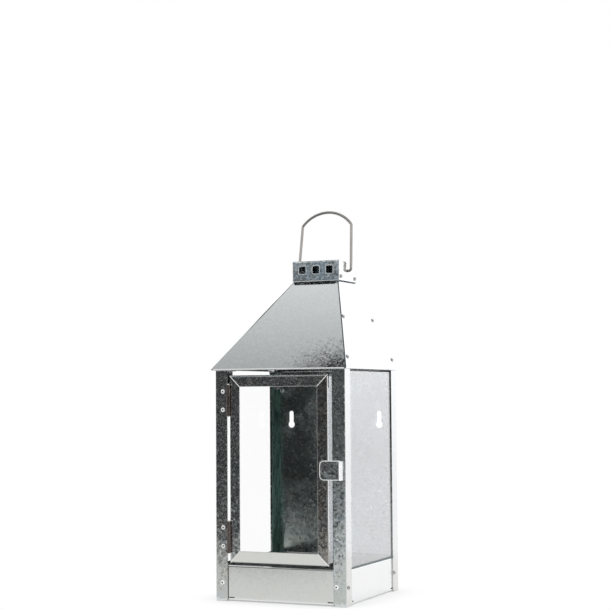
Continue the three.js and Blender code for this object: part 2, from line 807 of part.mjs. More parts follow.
const stileLength = doorTop - doorBottom;
const railLength = doorRight - doorLeft;
place(door, 'door_stile_hinge', doorFrameSide(stileLength), galvanised, [doorLeft, doorFront, doorBottom]);
place(door, 'door_stile_latch', doorFrameSide(stileLength), galvanised,
  [doorRight, doorFront, doorTop], [0, Math.PI, 0]);
place(door, 'door_rail_top', doorFrameSide(railLength), galvanised,
  [doorLeft, doorFront, doorTop], [0, Math.PI / 2, 0]);
place(door, 'door_rail_bottom', doorFrameSide(railLength), brightSheet,
  [doorRight, doorFront, doorBottom], [0, -Math.PI / 2, 0]);
place(door, 'door_glass', doorGlass(), clearGlass);
place(door, 'latch_tab', latchTab(), galvanised);

for (const [level, height] of [['upper', upperHingeHeight], ['lower', lowerHingeHeight]]) {
  const axis = [hinge.x, hinge.y, height];
  place(lantern, `hinge_leaf_post_${level}`, postLeaf(), hingeSteel, axis);
  place(lantern, `hinge_pin_${level}`, hingePin(), hingeSteel, axis);
  place(door, `hinge_leaf_door_${level}`, doorLeaf(), hingeSteel, axis);
}

// The origin is the centre of the whole footprint, from the wall face to the latch pull
lantern.add(door);
lantern.position.y = -(frontReach + backFace) / 2;

const assembly = new THREE.Group();
assembly.add(lantern);

export default assembly;
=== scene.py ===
"""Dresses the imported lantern: galvanised, glass and wire finishes, rivets, seams and rims.

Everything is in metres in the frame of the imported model: X to the right, Y towards the
wall side, Z up, with the feet on Z = 0.
"""

import math

import bmesh
import bpy
from mathutils import Matrix, Vector
from mathutils.bvhtree import BVHTree


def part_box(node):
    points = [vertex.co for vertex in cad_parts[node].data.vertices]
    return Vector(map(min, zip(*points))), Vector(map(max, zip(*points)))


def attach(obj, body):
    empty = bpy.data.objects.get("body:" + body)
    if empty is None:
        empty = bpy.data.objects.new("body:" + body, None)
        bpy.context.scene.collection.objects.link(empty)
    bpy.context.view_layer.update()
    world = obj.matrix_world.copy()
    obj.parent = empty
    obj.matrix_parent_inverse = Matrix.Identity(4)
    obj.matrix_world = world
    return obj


bl_info = {
    "name": "Galvanised Lantern",
    "version": (1, 0, 0),
    "blender": (4, 5, 0),
    "location": "View3D > Sidebar > Lantern",
    "description": "Finishes and small metalwork of a galvanised wall and table lantern",
    "category": "Object",
}

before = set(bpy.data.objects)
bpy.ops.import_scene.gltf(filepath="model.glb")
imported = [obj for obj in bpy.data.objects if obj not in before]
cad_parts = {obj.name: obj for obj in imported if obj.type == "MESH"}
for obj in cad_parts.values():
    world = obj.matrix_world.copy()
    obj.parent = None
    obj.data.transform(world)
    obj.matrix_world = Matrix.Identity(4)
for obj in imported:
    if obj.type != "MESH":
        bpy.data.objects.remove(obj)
BODY = "lantern_frame"
DOOR = "door"

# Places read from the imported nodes
PAN_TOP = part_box("base_pan")[1].z
POST_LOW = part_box("post_front_right")[0]
LEFT_POST_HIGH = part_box("post_front_left")[1]
HOOD_LOW, HOOD_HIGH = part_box("chimney_hood")
EAVE_LOW, EAVE_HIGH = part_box("roof_front")
PLATE_LOW, PLATE_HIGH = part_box("back_plate")
STILE_LOW, STILE_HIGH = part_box("door_stile_hinge")
FAR_STILE_LOW, FAR_STILE_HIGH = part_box("door_stile_latch")
FRONT_FACE = POST_LOW.y
BACK_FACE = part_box("post_rear_right")[1].y
DOOR_FACE = STILE_LOW.y

# Nodes that share a finish
SHEET_NODES = (
    "post_front_left", "post_rear_right", "post_rear_left", "roof_back", "door_rail_top",
    "glass_bead_front_right", "glass_bead_front_left",
    "roof_tie_front_right", "roof_tie_front_left", "roof_tie_rear_right", "roof_tie_rear_left",
)
ROOF_NODES = ("roof_front", "roof_side_right", "roof_side_left")
HINGE_NODES = (
    "hinge_leaf_post_upper", "hinge_leaf_post_lower",
    "hinge_leaf_door_upper", "hinge_leaf_door_lower",
)

# Colours of the sheets that differ from the common one
# The plain neutral colour to which side faces pass: painted light
LIT_SIDE_COLOUR = (0.745, 0.742, 0.735)
POST_COLOUR = (0.7, 0.745, 0.747)
STILE_COLOUR = (0.42, 0.405, 0.39)
PAN_COLOUR = (0.898, 0.908, 0.908)
RAIL_COLOUR = (0.915, 0.92, 0.91)
HOOD_COLOUR = (0.66, 0.74, 0.79)
TAB_COLOUR = (0.68, 0.72, 0.71)
PLATE_COLOUR = (0.68, 0.76, 0.745)

# Painted shade on the inside of the hood and on the inner face of the back plate: a margin a
# little more than the sheet's thickness, and the share of brightness left
SHADE_BOX_INSET = Vector((0.0009, 0.0009, 0.0009))
HOOD_SHADED_LEVEL = 0.03
PLATE_SHADED_LEVEL = 0.67
# Painted light at the foot of the back plate: its height, and how much brighter it is
PLATE_LIT_FOOT = 0.024
PLATE_LIT_FOOT_GAIN = 1.45

# Waves in a metre of the noise in the finishes
RIPPLE_WAVES = 260.0
CLOUD_WAVES = 28.0
HUE_WAVES = 75.0
SPECK_WAVES = 780.0
PATCH_WAVES = 55.0
BLOOM_WAVES = 33.0
SCUFF_WAVES = 1500.0
STAIN_WAVES = 420.0
MARK_WAVES = 60.0
FILM_WAVES = 22.0
# The levels between which most of a noise lies
NOISE_RANGE = (0.3, 0.7)
MIDDLE = (0.5, 0.5, 0.5)
# The darkest and brightest of the marks on plated metal
MARK_RANGE = (0.93, 1.04)
# How much of their spangle the side faces keep where they are painted lighter and plain
SIDE_SPREAD = 0.2

# Rivets: places across or along the sheet, each with its height. The side ones of the feet
# are measured back from the front face, and forward from the back face.
FRONT_FOOT_RIVETS = ((-0.067, 0.0191), (0.0641, 0.0199))
FRONT_SIDE_RIVET = (0.0058, 0.0193)
REAR_SIDE_RIVET = (0.0127, 0.0204)
PLATE_RIVET = (0.0652, 0.2224)
ROOF_RIVETS = ((-0.0078, 0.3012), (-0.053, 0.2565), (0.076, 0.3002), (0.0752, 0.2555))
HOOD_RIVETS = ((0.0366, 0.3486), (0.0763, 0.348))
HINGE_RIVET_X = -0.0658
# From how far out a rivet's place is looked for
REACH = 0.4
# Rings of a rivet head from its foot: rise as a share of the height, then its size
# as a share of the ring below
RIVET_RINGS = ((0.3, 0.93), (0.25, 0.84), (0.1, 0.74), (0.0, 0.68), (-0.45, 0.72))
RIVET_FOOT = 0.35
RIVET_SIDES = 24

# The hood's vents
VENT_PITCH = 0.0164
VENT_SIZE = (0.0091, 0.0095)
VENT_CORNER = 0.0016
VENT_ABOVE_EDGE = 0.0125
VENT_CORNER_STEPS = 5

# Round section of every bead
BEAD_SIDES = 10

# The door's frame: its width, the radius of its outer bend, and the turns of the bend that
# the solder follows, in degrees
DOOR_FRAME_WIDTH = 0.0119
DOOR_BEND = 0.0019
MITRE_TURNS = (60, 30, 0)
# How far the dark line at the fold stops short of the stile's ends
FOLD_END_GAP = 0.003

# The white mirror skin on the door's latch side, painted light for that face: its thickness,
# how far it stops short of the stile's ends and back, and the turns of the bend that it
# covers, in degrees
SKIN = 0.00015
SKIN_END_GAP = 0.002
SKIN_BACK_GAP = 0.0004
SKIN_TURNS = (0, 15, 30, 45)

# The latch tab: radius of its free corners, and where its rim runs
TAB_CORNER = 0.0044
TAB_CORNER_STEPS = 4
TAB_RIM_BACK = 0.001
TAB_RIM_END_GAP = 0.003

# Along a hip, from the hood to the eave: place, and how deep the edge's middle lies in the
# ridge, as a share of its width. The bail rests on the first stretch.
HIP_SINKS = ((0.0, 0.49), (0.17, 0.49), (0.27, 0.25), (0.4, 0.25), (1.0, 0.25))
# How far down each hip its edge shows, and how deep it lies beyond that
HIP_REACHES = ((-1, "left", 0.62), (1, "right", 1.0))
FADED_SINK = 0.6
# A place across each side slope that is clear of the hood
SLOPE_X = 0.06
HIP_TOP_DROP = 0.0006
HIP_FOOT_RISE = 0.0016

# Where the lines along the other edges run, off the sheets' corners
HOOD_FOOT_INSET = 0.001
HOOD_HEM_INSET = 0.0001
EAVE_HEM_RISE = 0.0003
JOINT_BACK = 0.0004
JOINT_FOOT = 0.001
JOINT_TOP_GAP = 0.0005
PANE_EDGE_INSET = 0.012
PANE_EDGE_RISE = 0.0006

# Strength at which the background shows as white, and that of the light round the object
SEEN_WHITE = 1.0
ROOM_LIGHT = 0.75

# Tones of the front card by height. Its right end, between two places across, passes to
# tones that reach higher and are brighter, which the right front post mirrors.
FRONT_TONES = (
    (0.0, 0.7), (0.006, 0.5), (0.018, 0.24), (0.035, 0.062), (0.07, 0.034), (0.2, 0.028),
    (0.28, 0.042),
)
RIGHT_END = (-0.064, -0.052)
RIGHT_END_HEIGHTS = 0.25
RIGHT_END_GAIN = 1.5
LIGHTEST_TONE = 0.68
# The lighter tone that the hood mirrors, and the heights between which it comes in
HOOD_TONE = 0.34
HOOD_TONE_HEIGHTS = (0.33, 0.39)
# Tints of the front card at the floor and above it
FLOOR_TINT = (1.0, 1.005, 0.965)
FRONT_TINT = (0.96, 1.0, 1.02)
FLOOR_TINT_TOP = 0.035

# Tones of the card over the roof from its front to its back, and its dark patch: the middle,
# the shape, how far its dark and its edge reach, and how dark it is
ROOF_TONE_PLACES = (-0.045, 0.085)
ROOF_TONE_LEVELS = (0.52, 0.89)
ROOF_TINT = (0.975, 1.0, 0.998)
DARK_PATCH = (-0.139, -0.055, 0.0)
DARK_PATCH_SHAPE = (0.75, 1.4, 0.0)
DARK_PATCH_REACH = (0.018, 0.066)
DARK_PATCH_LEVEL = 0.04

# Tones of the cards that the right pane mirrors: heights, and the light at each
SIDE_TONES = (0.08, 0.28, 1.15, 1.31)
HIGH_SIDE_TONES = (0.28, 0.6, 0.0, 0.12)
SIDE_TINT = (0.985, 0.997, 1.02)

# Studio cards: opposite corners of each. The flat ones lie just over the floor.
FRONT_Y = -0.34
FRONT_FLOOR_END = FRONT_FACE - 0.012
SIDE_FLOOR_START = 0.42
SIDE_Y = 1.2
OVER_FLOOR = 0.0005
FRONT_CARDS = (
    ("front_card", (-1.6, FRONT_Y, 0.0), (0.9, FRONT_Y, 0.5)),
    ("front_floor", (-1.6, FRONT_Y, OVER_FLOOR), (0.9, FRONT_FLOOR_END, OVER_FLOOR)),
)
ROOF_CARDS = (("roof_card", (-0.5, -0.2, 0.75), (0.1, 0.25, 0.75)),)
SIDE_CARDS = (
    ("side_card", (-0.1, SIDE_Y, 0.0), (1.8, SIDE_Y, 1.4)),
    ("side_floor", (-0.1, SIDE_FLOOR_START, OVER_FLOOR), (1.8, SIDE_Y, OVER_FLOOR)),
)

# The floor: half its width, how far it lies below the feet, its grey, and how wide the
# shade under the object is
FLOOR_REACH = 6.0
FLOOR_DROP = 0.0002
FLOOR_GREY = 0.9
FLOOR_SHADE = 0.04

# Square lamps: place, width and power, all turned to one point
LAMPS = (
    ("Key", (-0.9, -0.9, 1.6), 1.2, 9.0),
    ("Fill", (1.2, 0.3, 1.2), 1.0, 5.0),
    ("Side", (1.6, -0.25, 0.5), 0.8, 7.0),
)
LAMP_TARGET = Vector((0, 0, 0.15))

# The camera of the photograph: place in the model's frame, turn in degrees, lens in mm
CAMERA_PLACE = (0.66925, -1.49052, 0.21598)
CAMERA_YAW = 24.172
CAMERA_RISE = 3.477
CAMERA_ROLL = -0.406
CAMERA_LENS = 88.197
CAMERA_SENSOR = 36.0


class SheetSettings(bpy.types.PropertyGroup):
    colour: bpy.props.FloatVectorProperty(
        name="Zinc Colour",
        description="Base colour of the galvanised sheet",
        subtype="COLOR",
        size=3,
        default=(0.72, 0.735, 0.74),
        min=0,
        max=1,
    )
    grain: bpy.props.FloatProperty(
        name="Spangle Size",
        description="Width of one crystal of the zinc",
        unit="LENGTH",
        default=0.0021,
        min=0.0005,
    )
    tilt: bpy.props.FloatProperty(
        name="Spangle Tilt",
        description="How far the crystals lean from the sheet",
        subtype="FACTOR",
        default=0.06,
        min=0,
        max=1,
    )


class RivetSettings(bpy.types.PropertyGroup):
    head: bpy.props.FloatProperty(
        name="Head Diameter",
        description="Diameter of a rivet head",
        unit="LENGTH",
        default=0.0048,
        min=0.001,
    )
    height: bpy.props.FloatProperty(
        name="Head Height",
        description="How far a rivet head stands proud of the sheet",
        unit="LENGTH",
        default=0.0011,
        min=0.0002,
    )
    hinge_spacing: bpy.props.FloatProperty(
        name="Hinge Rivet Spacing",
        description="Distance between the two rivets of a hinge leaf",
        unit="LENGTH",
        default=0.0195,
        min=0.005,
    )


class TrimSettings(bpy.types.PropertyGroup):
    seam: bpy.props.FloatProperty(
        name="Seam Width",
        description="Width of the solder along each mitre of the door",
        unit="LENGTH",
        default=0.0009,
        min=0.0002,
    )
    rim: bpy.props.FloatProperty(
        name="Vent Rim",
        description="Thickness of the raised rim round a punched vent",
        unit="LENGTH",
        default=0.0007,
        min=0.0002,
    )
    # This width also sets painted shade lines at the door's fold, the pan's joints and the hood's
    # foot, and the dark line at each pane's foot
    edge: bpy.props.FloatProperty(
        name="Edge Width",
        description="Width of the cut edges that show along the sheets",
        unit="LENGTH",
        default=0.0012,
        min=0.0002,
    )
    hip: bpy.props.FloatProperty(
        name="Hip Edge Width",
        description="Width of the dark edge along each hip of the roof",
        unit="LENGTH",
        default=0.0012,
        min=0.0002,
    )


class StageSettings(bpy.types.PropertyGroup):
    floor_white: bpy.props.FloatProperty(
        name="Floor Glow",
        description="How far plain white covers the floor's shade close to the object",
        subtype="FACTOR",
        default=0.75,
        min=0,
        max=1,
    )


# Node helpers


def set_input(tree, socket, value):
    """Links an input to another node's output, or gives it a plain value."""
    if isinstance(value, bpy.types.NodeSocket):
        tree.links.new(value, socket)
    else:
        socket.default_value = value


def add_node(tree, kind, inputs=None, **values):
    node = tree.nodes.new(kind)
    for key, value in values.items():
        setattr(node, key, value)
    for key, value in (inputs or {}).items():
        set_input(tree, node.inputs[key], value)
    return node


def math_node(tree, operation, *values):
    inputs = dict(enumerate(values))
    return add_node(tree, "ShaderNodeMath", inputs, operation=operation).outputs[0]


def vector_node(tree, operation, *values, scale=None):
    inputs = dict(enumerate(values))
    if scale is not None:
        inputs["Scale"] = scale
    return add_node(tree, "ShaderNodeVectorMath", inputs, operation=operation).outputs[0]


def remap(tree, value, low, high, to_low, to_high):
    inputs = {0: value, 1: low, 2: high, 3: to_low, 4: to_high}
    return add_node(tree, "ShaderNodeMapRange", inputs).outputs[0]


def parts_of(tree, vector):
    return add_node(tree, "ShaderNodeSeparateXYZ", {0: vector}).outputs


def noise(tree, place, waves, detail=2.0, output="Fac"):
    inputs = {"Vector": place, "Scale": waves, "Detail": detail}
    return add_node(tree, "ShaderNodeTexNoise", inputs).outputs[output]


def object_place(tree):
    return add_node(tree, "ShaderNodeTexCoord").outputs["Object"]


def scaled_colour(tree, colour, level):
    """A colour times a level."""
    grey = add_node(tree, "ShaderNodeCombineXYZ", {0: level, 1: level, 2: level})
    return vector_node(tree, "MULTIPLY", colour, grey.outputs[0])


def mixed_colour(tree, share, first, second):
    """A blend of two colours, the first of which may come from another node.

    Inputs 6 and 7 of a Mix node are its two colours, and output 2 is their blend.
    """
    first = first if isinstance(first, bpy.types.NodeSocket) else (*first, 1)
    inputs = {0: share, 6: first, 7: (*second, 1)}
    return add_node(tree, "ShaderNodeMix", inputs, data_type="RGBA").outputs[2]


def inside_box(tree, place, low, high):
    """1 where a point lies in the box, and 0 outside it."""
    middle = (low + high) / 2
    off_middle = vector_node(tree, "ABSOLUTE", vector_node(tree, "SUBTRACT", place, middle))
    over = vector_node(tree, "SUBTRACT", off_middle, (high - low) / 2)
    x, y, z = parts_of(tree, over)
    most = math_node(tree, "MAXIMUM", math_node(tree, "MAXIMUM", x, y), z)
    return math_node(tree, "LESS_THAN", most, 0.0)


def new_material(name):
    material = bpy.data.materials.new(name)
    material.use_nodes = True
    material.node_tree.nodes.clear()
    return material, material.node_tree


def finish_material(material, shader):
    surface = {"Surface": shader.outputs[0]}
    add_node(material.node_tree, "ShaderNodeOutputMaterial", surface)
    return material


def finish_principled(material, inputs):
    shader = add_node(material.node_tree, "ShaderNodeBsdfPrincipled", inputs)
    return finish_material(material, shader)


# Finishes


def crystals(tree, place, grain):
    """Zinc crystals with rippled edges: three random levels for each."""
    ripple = noise(tree, place, RIPPLE_WAVES, output="Color")
    ripple = vector_node(tree, "SUBTRACT", ripple, MIDDLE)
    ripple = vector_node(tree, "SCALE", ripple, scale=grain * 0.9)
    cells = {"Vector": vector_node(tree, "ADD", place, ripple), "Scale": 1 / grain}
    return add_node(tree, "ShaderNodeTexVoronoi", cells).outputs["Color"]


def patchy_colour(tree, place, colour, hue, spread):
    """The colour, a little warmer in some patches and cooler in others."""
    warm = [channel * share for channel, share in zip(colour, (1 + hue, 1.0, 1 - hue))]
    cool = [channel * share for channel, share in zip(colour, (1 - hue, 1.0, 1 + hue))]
    blend = remap(tree, noise(tree, place, HUE_WAVES), 0.35, 0.65, -0.5, 0.5)
    return mixed_colour(tree, math_node(tree, "MULTIPLY_ADD", blend, spread, 0.5), warm, cool)


def metal_share(tree, place, frost, bloom):
    """How metallic the sheet is: less in fine specks, in patches and under white oxide."""
    if not frost:
        return 1.0
    speck = remap(tree, noise(tree, place, SPECK_WAVES, 3.0), 0.48, 0.72, 1.0, 1 - frost)
    patch = remap(tree, noise(tree, place, PATCH_WAVES), 0.35, 0.65, 0.0, 1 - frost * 0.6)
    share = math_node(tree, "MAXIMUM", speck, patch)
    if not bloom:
        return share
    oxide = remap(tree, noise(tree, place, BLOOM_WAVES, 4.0), 0.48, 0.66, 0.0, bloom)
    return math_node(tree, "SUBTRACT", share, oxide)


def spangled_zinc(
    name, colour, grain, tilt, roughness=(0.12, 0.4), contrast=0.05, cloud=0.04, hue=0.03,
    frost=0.0, bloom=0.0, lean=(0, 0, 0), painted_shade=None, plain_lit_sides=False, lit_foot=None
):
    """Zinc-coated sheet: crystals that lean and shine unevenly, under clouds of oxide.

    grain is how wide the crystals are, and tilt how far they lean. contrast, cloud and hue
    say how much the crystals, the clouds and the warm and cool patches differ. frost is how
    dull the fine pale specks are, and bloom how dull the soft clouds of white oxide are.
    lean turns the whole sheet's shine. The shade box argument gives the box inside which the
    sheet is darkened as painted shade, and the share of brightness left there. The lit sides
    switch makes the faces to the left and right lighter and plain, in a neutral colour with
    little spangle: painted light. The lit foot argument gives two heights and how much
    brighter the sheet is at the lower one: a painted highlight.
    """
    material, tree = new_material(name)
    place = object_place(tree)
    facing = add_node(tree, "ShaderNodeNewGeometry").outputs["Normal"]
    random = crystals(tree, place, grain)
    brightness, dullness, _ = parts_of(tree, random)
    clouds = noise(tree, place, CLOUD_WAVES, 3.0)
    shade = math_node(
        tree,
        "MULTIPLY",
        remap(tree, brightness, 0, 1, 1 - contrast, 1 + contrast * 0.6),
        remap(tree, clouds, *NOISE_RANGE, 1 - cloud, 1 + cloud * 0.5),
    )
    spread = 1.0
    # Painted light: faces to the left and right are lifted to full brightness and keep little
    # spangle
    if plain_lit_sides:
        sideways = math_node(tree, "ABSOLUTE", parts_of(tree, facing)[0])
        spread = remap(tree, sideways, 0, 1, 1.0, SIDE_SPREAD)
        shade = math_node(tree, "MAXIMUM", shade, sideways)
    # Painted highlight: brighter towards the lower of the two heights
    if lit_foot:
        low, high, gain = lit_foot
        foot = remap(tree, parts_of(tree, place)[2], low, high, gain, 1.0)
        shade = math_node(tree, "MULTIPLY", shade, foot)
    # Painted shade: the sheet is darker inside the given box
    if painted_shade:
        low, high, left = painted_shade
        left = remap(tree, inside_box(tree, place, low, high), 0, 1, 1.0, left)
        shade = math_node(tree, "MULTIPLY", shade, left)
    tint = patchy_colour(tree, place, colour, hue, spread)
    # Painted light: side faces pass to a plain neutral colour
    if plain_lit_sides:
        tint = mixed_colour(tree, sideways, tint, LIT_SIDE_COLOUR)
    turned = vector_node(tree, "SUBTRACT", random, MIDDLE)
    turned = vector_node(tree, "SCALE", turned, scale=math_node(tree, "MULTIPLY", spread, tilt))
    facing = vector_node(tree, "ADD", vector_node(tree, "ADD", facing, turned), lean)
    return finish_principled(
        material,
        {
            "Base Color": scaled_colour(tree, tint, shade),
            "Metallic": metal_share(tree, place, frost, bloom),
            "Roughness": remap(tree, math_node(tree, "POWER", dullness, 3.0), 0, 1, *roughness),
            "Normal": vector_node(tree, "NORMALIZE", facing),
        },
    )


def rolled_steel(name, colour, stain_and_reflection, roughness=(0.24, 0.4)):
    """Bare rolled steel, scuffed along its length, with patches of a second colour.

    On the hinges the patches are brown stains. On the rear beads both colours are a painted
    reflection of the green glass edge.
    """
    material, tree = new_material(name)
    place = vector_node(tree, "MULTIPLY", object_place(tree), (1.0, 1.0, 0.12))
    scuff = noise(tree, place, SCUFF_WAVES, 3.0)
    stain_and_reflection_mask = remap(tree, noise(tree, place, STAIN_WAVES, 3.0), 0.4, 0.65, 0, 1)
    dents = {"Height": scuff, "Strength": 0.25, "Distance": 0.0001}
    return finish_principled(
        material,
        {
            "Base Color": mixed_colour(tree, stain_and_reflection_mask, colour, stain_and_reflection),
            "Metallic": 0.8,
            "Roughness": remap(tree, scuff, *NOISE_RANGE, *roughness),
            "Normal": add_node(tree, "ShaderNodeBump", dents).outputs[0],
        },
    )


def plated_metal(name, colour, metallic=1.0, roughness=(0.16, 0.26), edge=(1, 1, 1)):
    """Plated wire and small metalwork with fine marks and dull spots.

    edge tints the shine where the surface turns away.
    """
    material, tree = new_material(name)
    place = object_place(tree)
    spots = noise(tree, place, STAIN_WAVES, 3.0)
    marks = noise(tree, place, MARK_WAVES, 1.0)
    shade = math_node(
        tree,
        "MULTIPLY",
        remap(tree, spots, *NOISE_RANGE, *MARK_RANGE),
        remap(tree, marks, *NOISE_RANGE, *MARK_RANGE),
    )
    return finish_principled(
        material,
        {
            "Base Color": scaled_colour(tree, colour, shade),
            "Metallic": metallic,
            "Roughness": remap(tree, spots, *NOISE_RANGE, *roughness),
            "Specular Tint": (*edge, 1),
        },
    )


def pane_glass(name, tint, ior, coat=0.0, coat_ior=1.5):
    """Clear float glass with a faint uneven film of dust."""
    material, tree = new_material(name)
    film = noise(tree, object_place(tree), FILM_WAVES, 4.0)
    clear = remap(tree, film, *NOISE_RANGE, 0.997, 1.0)
    return finish_principled(
        material,
        {
            "Base Color": scaled_colour(tree, tint, clear),
            "Roughness": remap(tree, film, 0.4, 0.75, 0.0, 0.02),
            "IOR": ior,
            "Transmission Weight": 1.0,
            "Coat Weight": coat,
            "Coat IOR": coat_ior,
            "Coat Roughness": 0.03,
        },
    )


def give(nodes, material):
    for name in nodes:
        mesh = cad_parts[name].data
        mesh.materials.clear()
        mesh.materials.append(material)


class LANTERN_OT_sheet_finish(bpy.types.Operator):
    """Gives every folded sheet its galvanised finish"""

    bl_idname = "lantern.sheet_finish"
    bl_label = "Sheet Finish"

    def execute(self, context):
        sheet = context.scene.lantern_sheet
        colour, grain, tilt = sheet.colour, sheet.grain, sheet.tilt
        # Fine dull specks, and side faces painted lighter and plain
        calm = {"frost": 0.15, "plain_lit_sides": True}
        give(SHEET_NODES, spangled_zinc("Spangled Zinc", colour, grain, tilt * 1.2, **calm))
        give(
            ("post_front_right", "door_stile_hinge"),
            spangled_zinc(
                "Blued Zinc", POST_COLOUR, grain, tilt * 1.4, cloud=0.07, hue=0.02, **calm
            ),
        )
        give(
            ("door_stile_latch",),
            spangled_zinc(
                "Browned Zinc", STILE_COLOUR, grain * 0.8, tilt, contrast=0.25, hue=0.05,
                frost=0.2
            ),
        )
        quiet = {"contrast": 0.012, "cloud": 0.012, "hue": 0.006}
        give(
            ROOF_NODES,
            spangled_zinc("Roof Zinc", colour, grain * 0.9, 0.026, (0.06, 0.12), **quiet),
        )
        give(
            ("base_pan",),
            spangled_zinc("Pan Zinc", PAN_COLOUR, grain, 0.012, (0.2, 0.26), **quiet),
        )
        give(
            ("door_rail_bottom",),
            spangled_zinc(
                "Rail Zinc", RAIL_COLOUR, grain, 0.01, (0.2, 0.26), lean=(0, 0, -0.14), **quiet
            ),
        )
        # Painted shade: the hood's inside is darkened almost to black
        hood_shaded_inside = (HOOD_LOW + SHADE_BOX_INSET, HOOD_HIGH - SHADE_BOX_INSET, HOOD_SHADED_LEVEL)
        give(
            ("chimney_hood",),
            spangled_zinc(
                "Coarse Zinc", HOOD_COLOUR, grain, tilt, (0.1, 0.3), contrast=0.5, hue=0.06,
                frost=0.2, painted_shade=hood_shaded_inside, plain_lit_sides=True
            ),
        )
        give(
            ("latch_tab",),
            spangled_zinc(
                "Tab Zinc", TAB_COLOUR, grain * 0.7, tilt * 1.2, contrast=0.5, frost=0.25,
                plain_lit_sides=True
            ),
        )
        # Painted shade on the plate's inner face, and painted light at its foot
        halfway = (PLATE_LOW.y + PLATE_HIGH.y) / 2
        inner_face = Vector((PLATE_HIGH.x, halfway, PLATE_HIGH.z))
        give(
            ("back_plate",),
            spangled_zinc(
                "Plate Zinc", PLATE_COLOUR, grain, tilt * 0.7, (0.14, 0.3), cloud=0.4,
                frost=0.2, bloom=0.27, painted_shade=(PLATE_LOW - SHADE_BOX_INSET, inner_face, PLATE_SHADED_LEVEL),
                lit_foot=(PLATE_LOW.z, PLATE_LOW.z + PLATE_LIT_FOOT, PLATE_LIT_FOOT_GAIN)
            ),
        )
        # Painted reflection: the rear beads are green for the green glass edge mirrored in them
        give(
            ("glass_bead_rear_right", "glass_bead_rear_left"),
            rolled_steel("Green Glass Reflection", (0.34, 0.52, 0.46), (0.12, 0.21, 0.18)),
        )
        return {"FINISHED"}


class LANTERN_OT_small_finishes(bpy.types.Operator):
    """Gives the hinges, the wire bail and the panes their finishes"""

    bl_idname = "lantern.small_finishes"
    bl_label = "Hinge, Wire and Glass Finishes"

    def execute(self, context):
        give(HINGE_NODES, rolled_steel("Hinge Steel", (0.2, 0.165, 0.15), (0.1, 0.075, 0.068)))
        give(
            ("hinge_pin_upper", "hinge_pin_lower"),
            plated_metal("Pin Steel", (0.82, 0.81, 0.79), metallic=0.35),
        )
        give(
            ("bail_handle",),
            plated_metal(
                "Drawn Wire", (0.405, 0.388, 0.37), roughness=(0.14, 0.2), edge=(0.05, 0.04, 0.035)
            ),
        )
        give(("door_glass", "glass_left"), pane_glass("Clear Glass", (1.0, 1.0, 1.0), 1.08))
        give(("glass_right",), pane_glass("Bright Glass", (0.95, 0.965, 0.99), 1.52, 1.0, 3.0))
        return {"FINISHED"}


# Mesh helpers


def smooth(mesh, angle=40):
    mesh.shade_smooth()
    mesh.set_sharp_from_angle(angle=math.radians(angle))


def on_node(node, start, direction):
    """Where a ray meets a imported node, and the face's outward direction there."""
    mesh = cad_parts[node].data
    tree = BVHTree.FromPolygons(
        [v.co for v in mesh.vertices], [tuple(f.vertices) for f in mesh.polygons]
    )
    place, normal, _, _ = tree.ray_cast(Vector(start), Vector(direction))
    if place is None:
        raise RuntimeError(f"the ray missed {node}")
    return place, normal


def points_mesh(name, rows):
    """A mesh of loose points, each with the direction that it faces."""
    mesh = bpy.data.meshes.new(name)
    mesh.from_pydata([tuple(place) for place, _ in rows], [], [])
    facing = mesh.attributes.new("facing", "FLOAT_VECTOR", "POINT")
    for i, (_, direction) in enumerate(rows):
        facing.data[i].vector = direction
    return mesh


def lines_mesh(name, lines):
    """A mesh of open lines, each a list of points."""
    points = [tuple(point) for line in lines for point in line]
    edges, start = [], 0
    for line in lines:
        edges += [(start + i, start + i + 1) for i in range(len(line) - 1)]
        start += len(line)
    mesh = bpy.data.meshes.new(name)
    mesh.from_pydata(points, edges, [])
    return mesh


def piece_from(name, mesh, body, material):
    """A finished piece: plain mesh at the origin that rides on a body."""
    obj = bpy.data.objects.new(name, mesh)
    bpy.context.scene.collection.objects.link(obj)
    if not mesh.materials:
        mesh.materials.append(material)
    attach(obj, body)


def run_tree(tree, mesh, values, name):
    """Runs a geometry node tree on a mesh and returns the result as a plain mesh."""
    source = bpy.data.objects.new(name + "_source", mesh)
    bpy.context.scene.collection.objects.link(source)
    modifier = source.modifiers.new("Nodes", "NODES")
    modifier.node_group = tree
    for item in tree.interface.items_tree:
        if item.item_type == "SOCKET" and item.in_out == "INPUT" and item.name in values:
            modifier[item.identifier] = values[item.name]
    depsgraph = bpy.context.evaluated_depsgraph_get()
    result = bpy.data.meshes.new_from_object(
        source.evaluated_get(depsgraph), preserve_all_data_layers=True, depsgraph=depsgraph
    )
    source.modifiers.clear()
    bpy.data.objects.remove(source)
    result.name = name
    smooth(result)
    return result


# Geometry node trees


def new_tree(name, sizes, finishes=("Finish",)):
    """A tree that takes geometry, sizes and finishes, with its first and last sockets."""
    tree = bpy.data.node_groups.new(name, "GeometryNodeTree")
    sockets = [("Geometry", "NodeSocketGeometry")]
    sockets += [(size, "NodeSocketFloat") for size in sizes]
    sockets += [(finish, "NodeSocketMaterial") for finish in finishes]
    for socket, kind in sockets:
        tree.interface.new_socket(socket, in_out="INPUT", socket_type=kind)
    tree.interface.new_socket("Geometry", in_out="OUTPUT", socket_type="NodeSocketGeometry")
    entry = tree.nodes.new("NodeGroupInput").outputs
    leave = tree.nodes.new("NodeGroupOutput").inputs[0]
    return tree, entry, leave


def attribute(tree, name, kind):
    inputs = {"Name": name}
    return add_node(tree, "GeometryNodeInputNamedAttribute", inputs, data_type=kind).outputs[0]


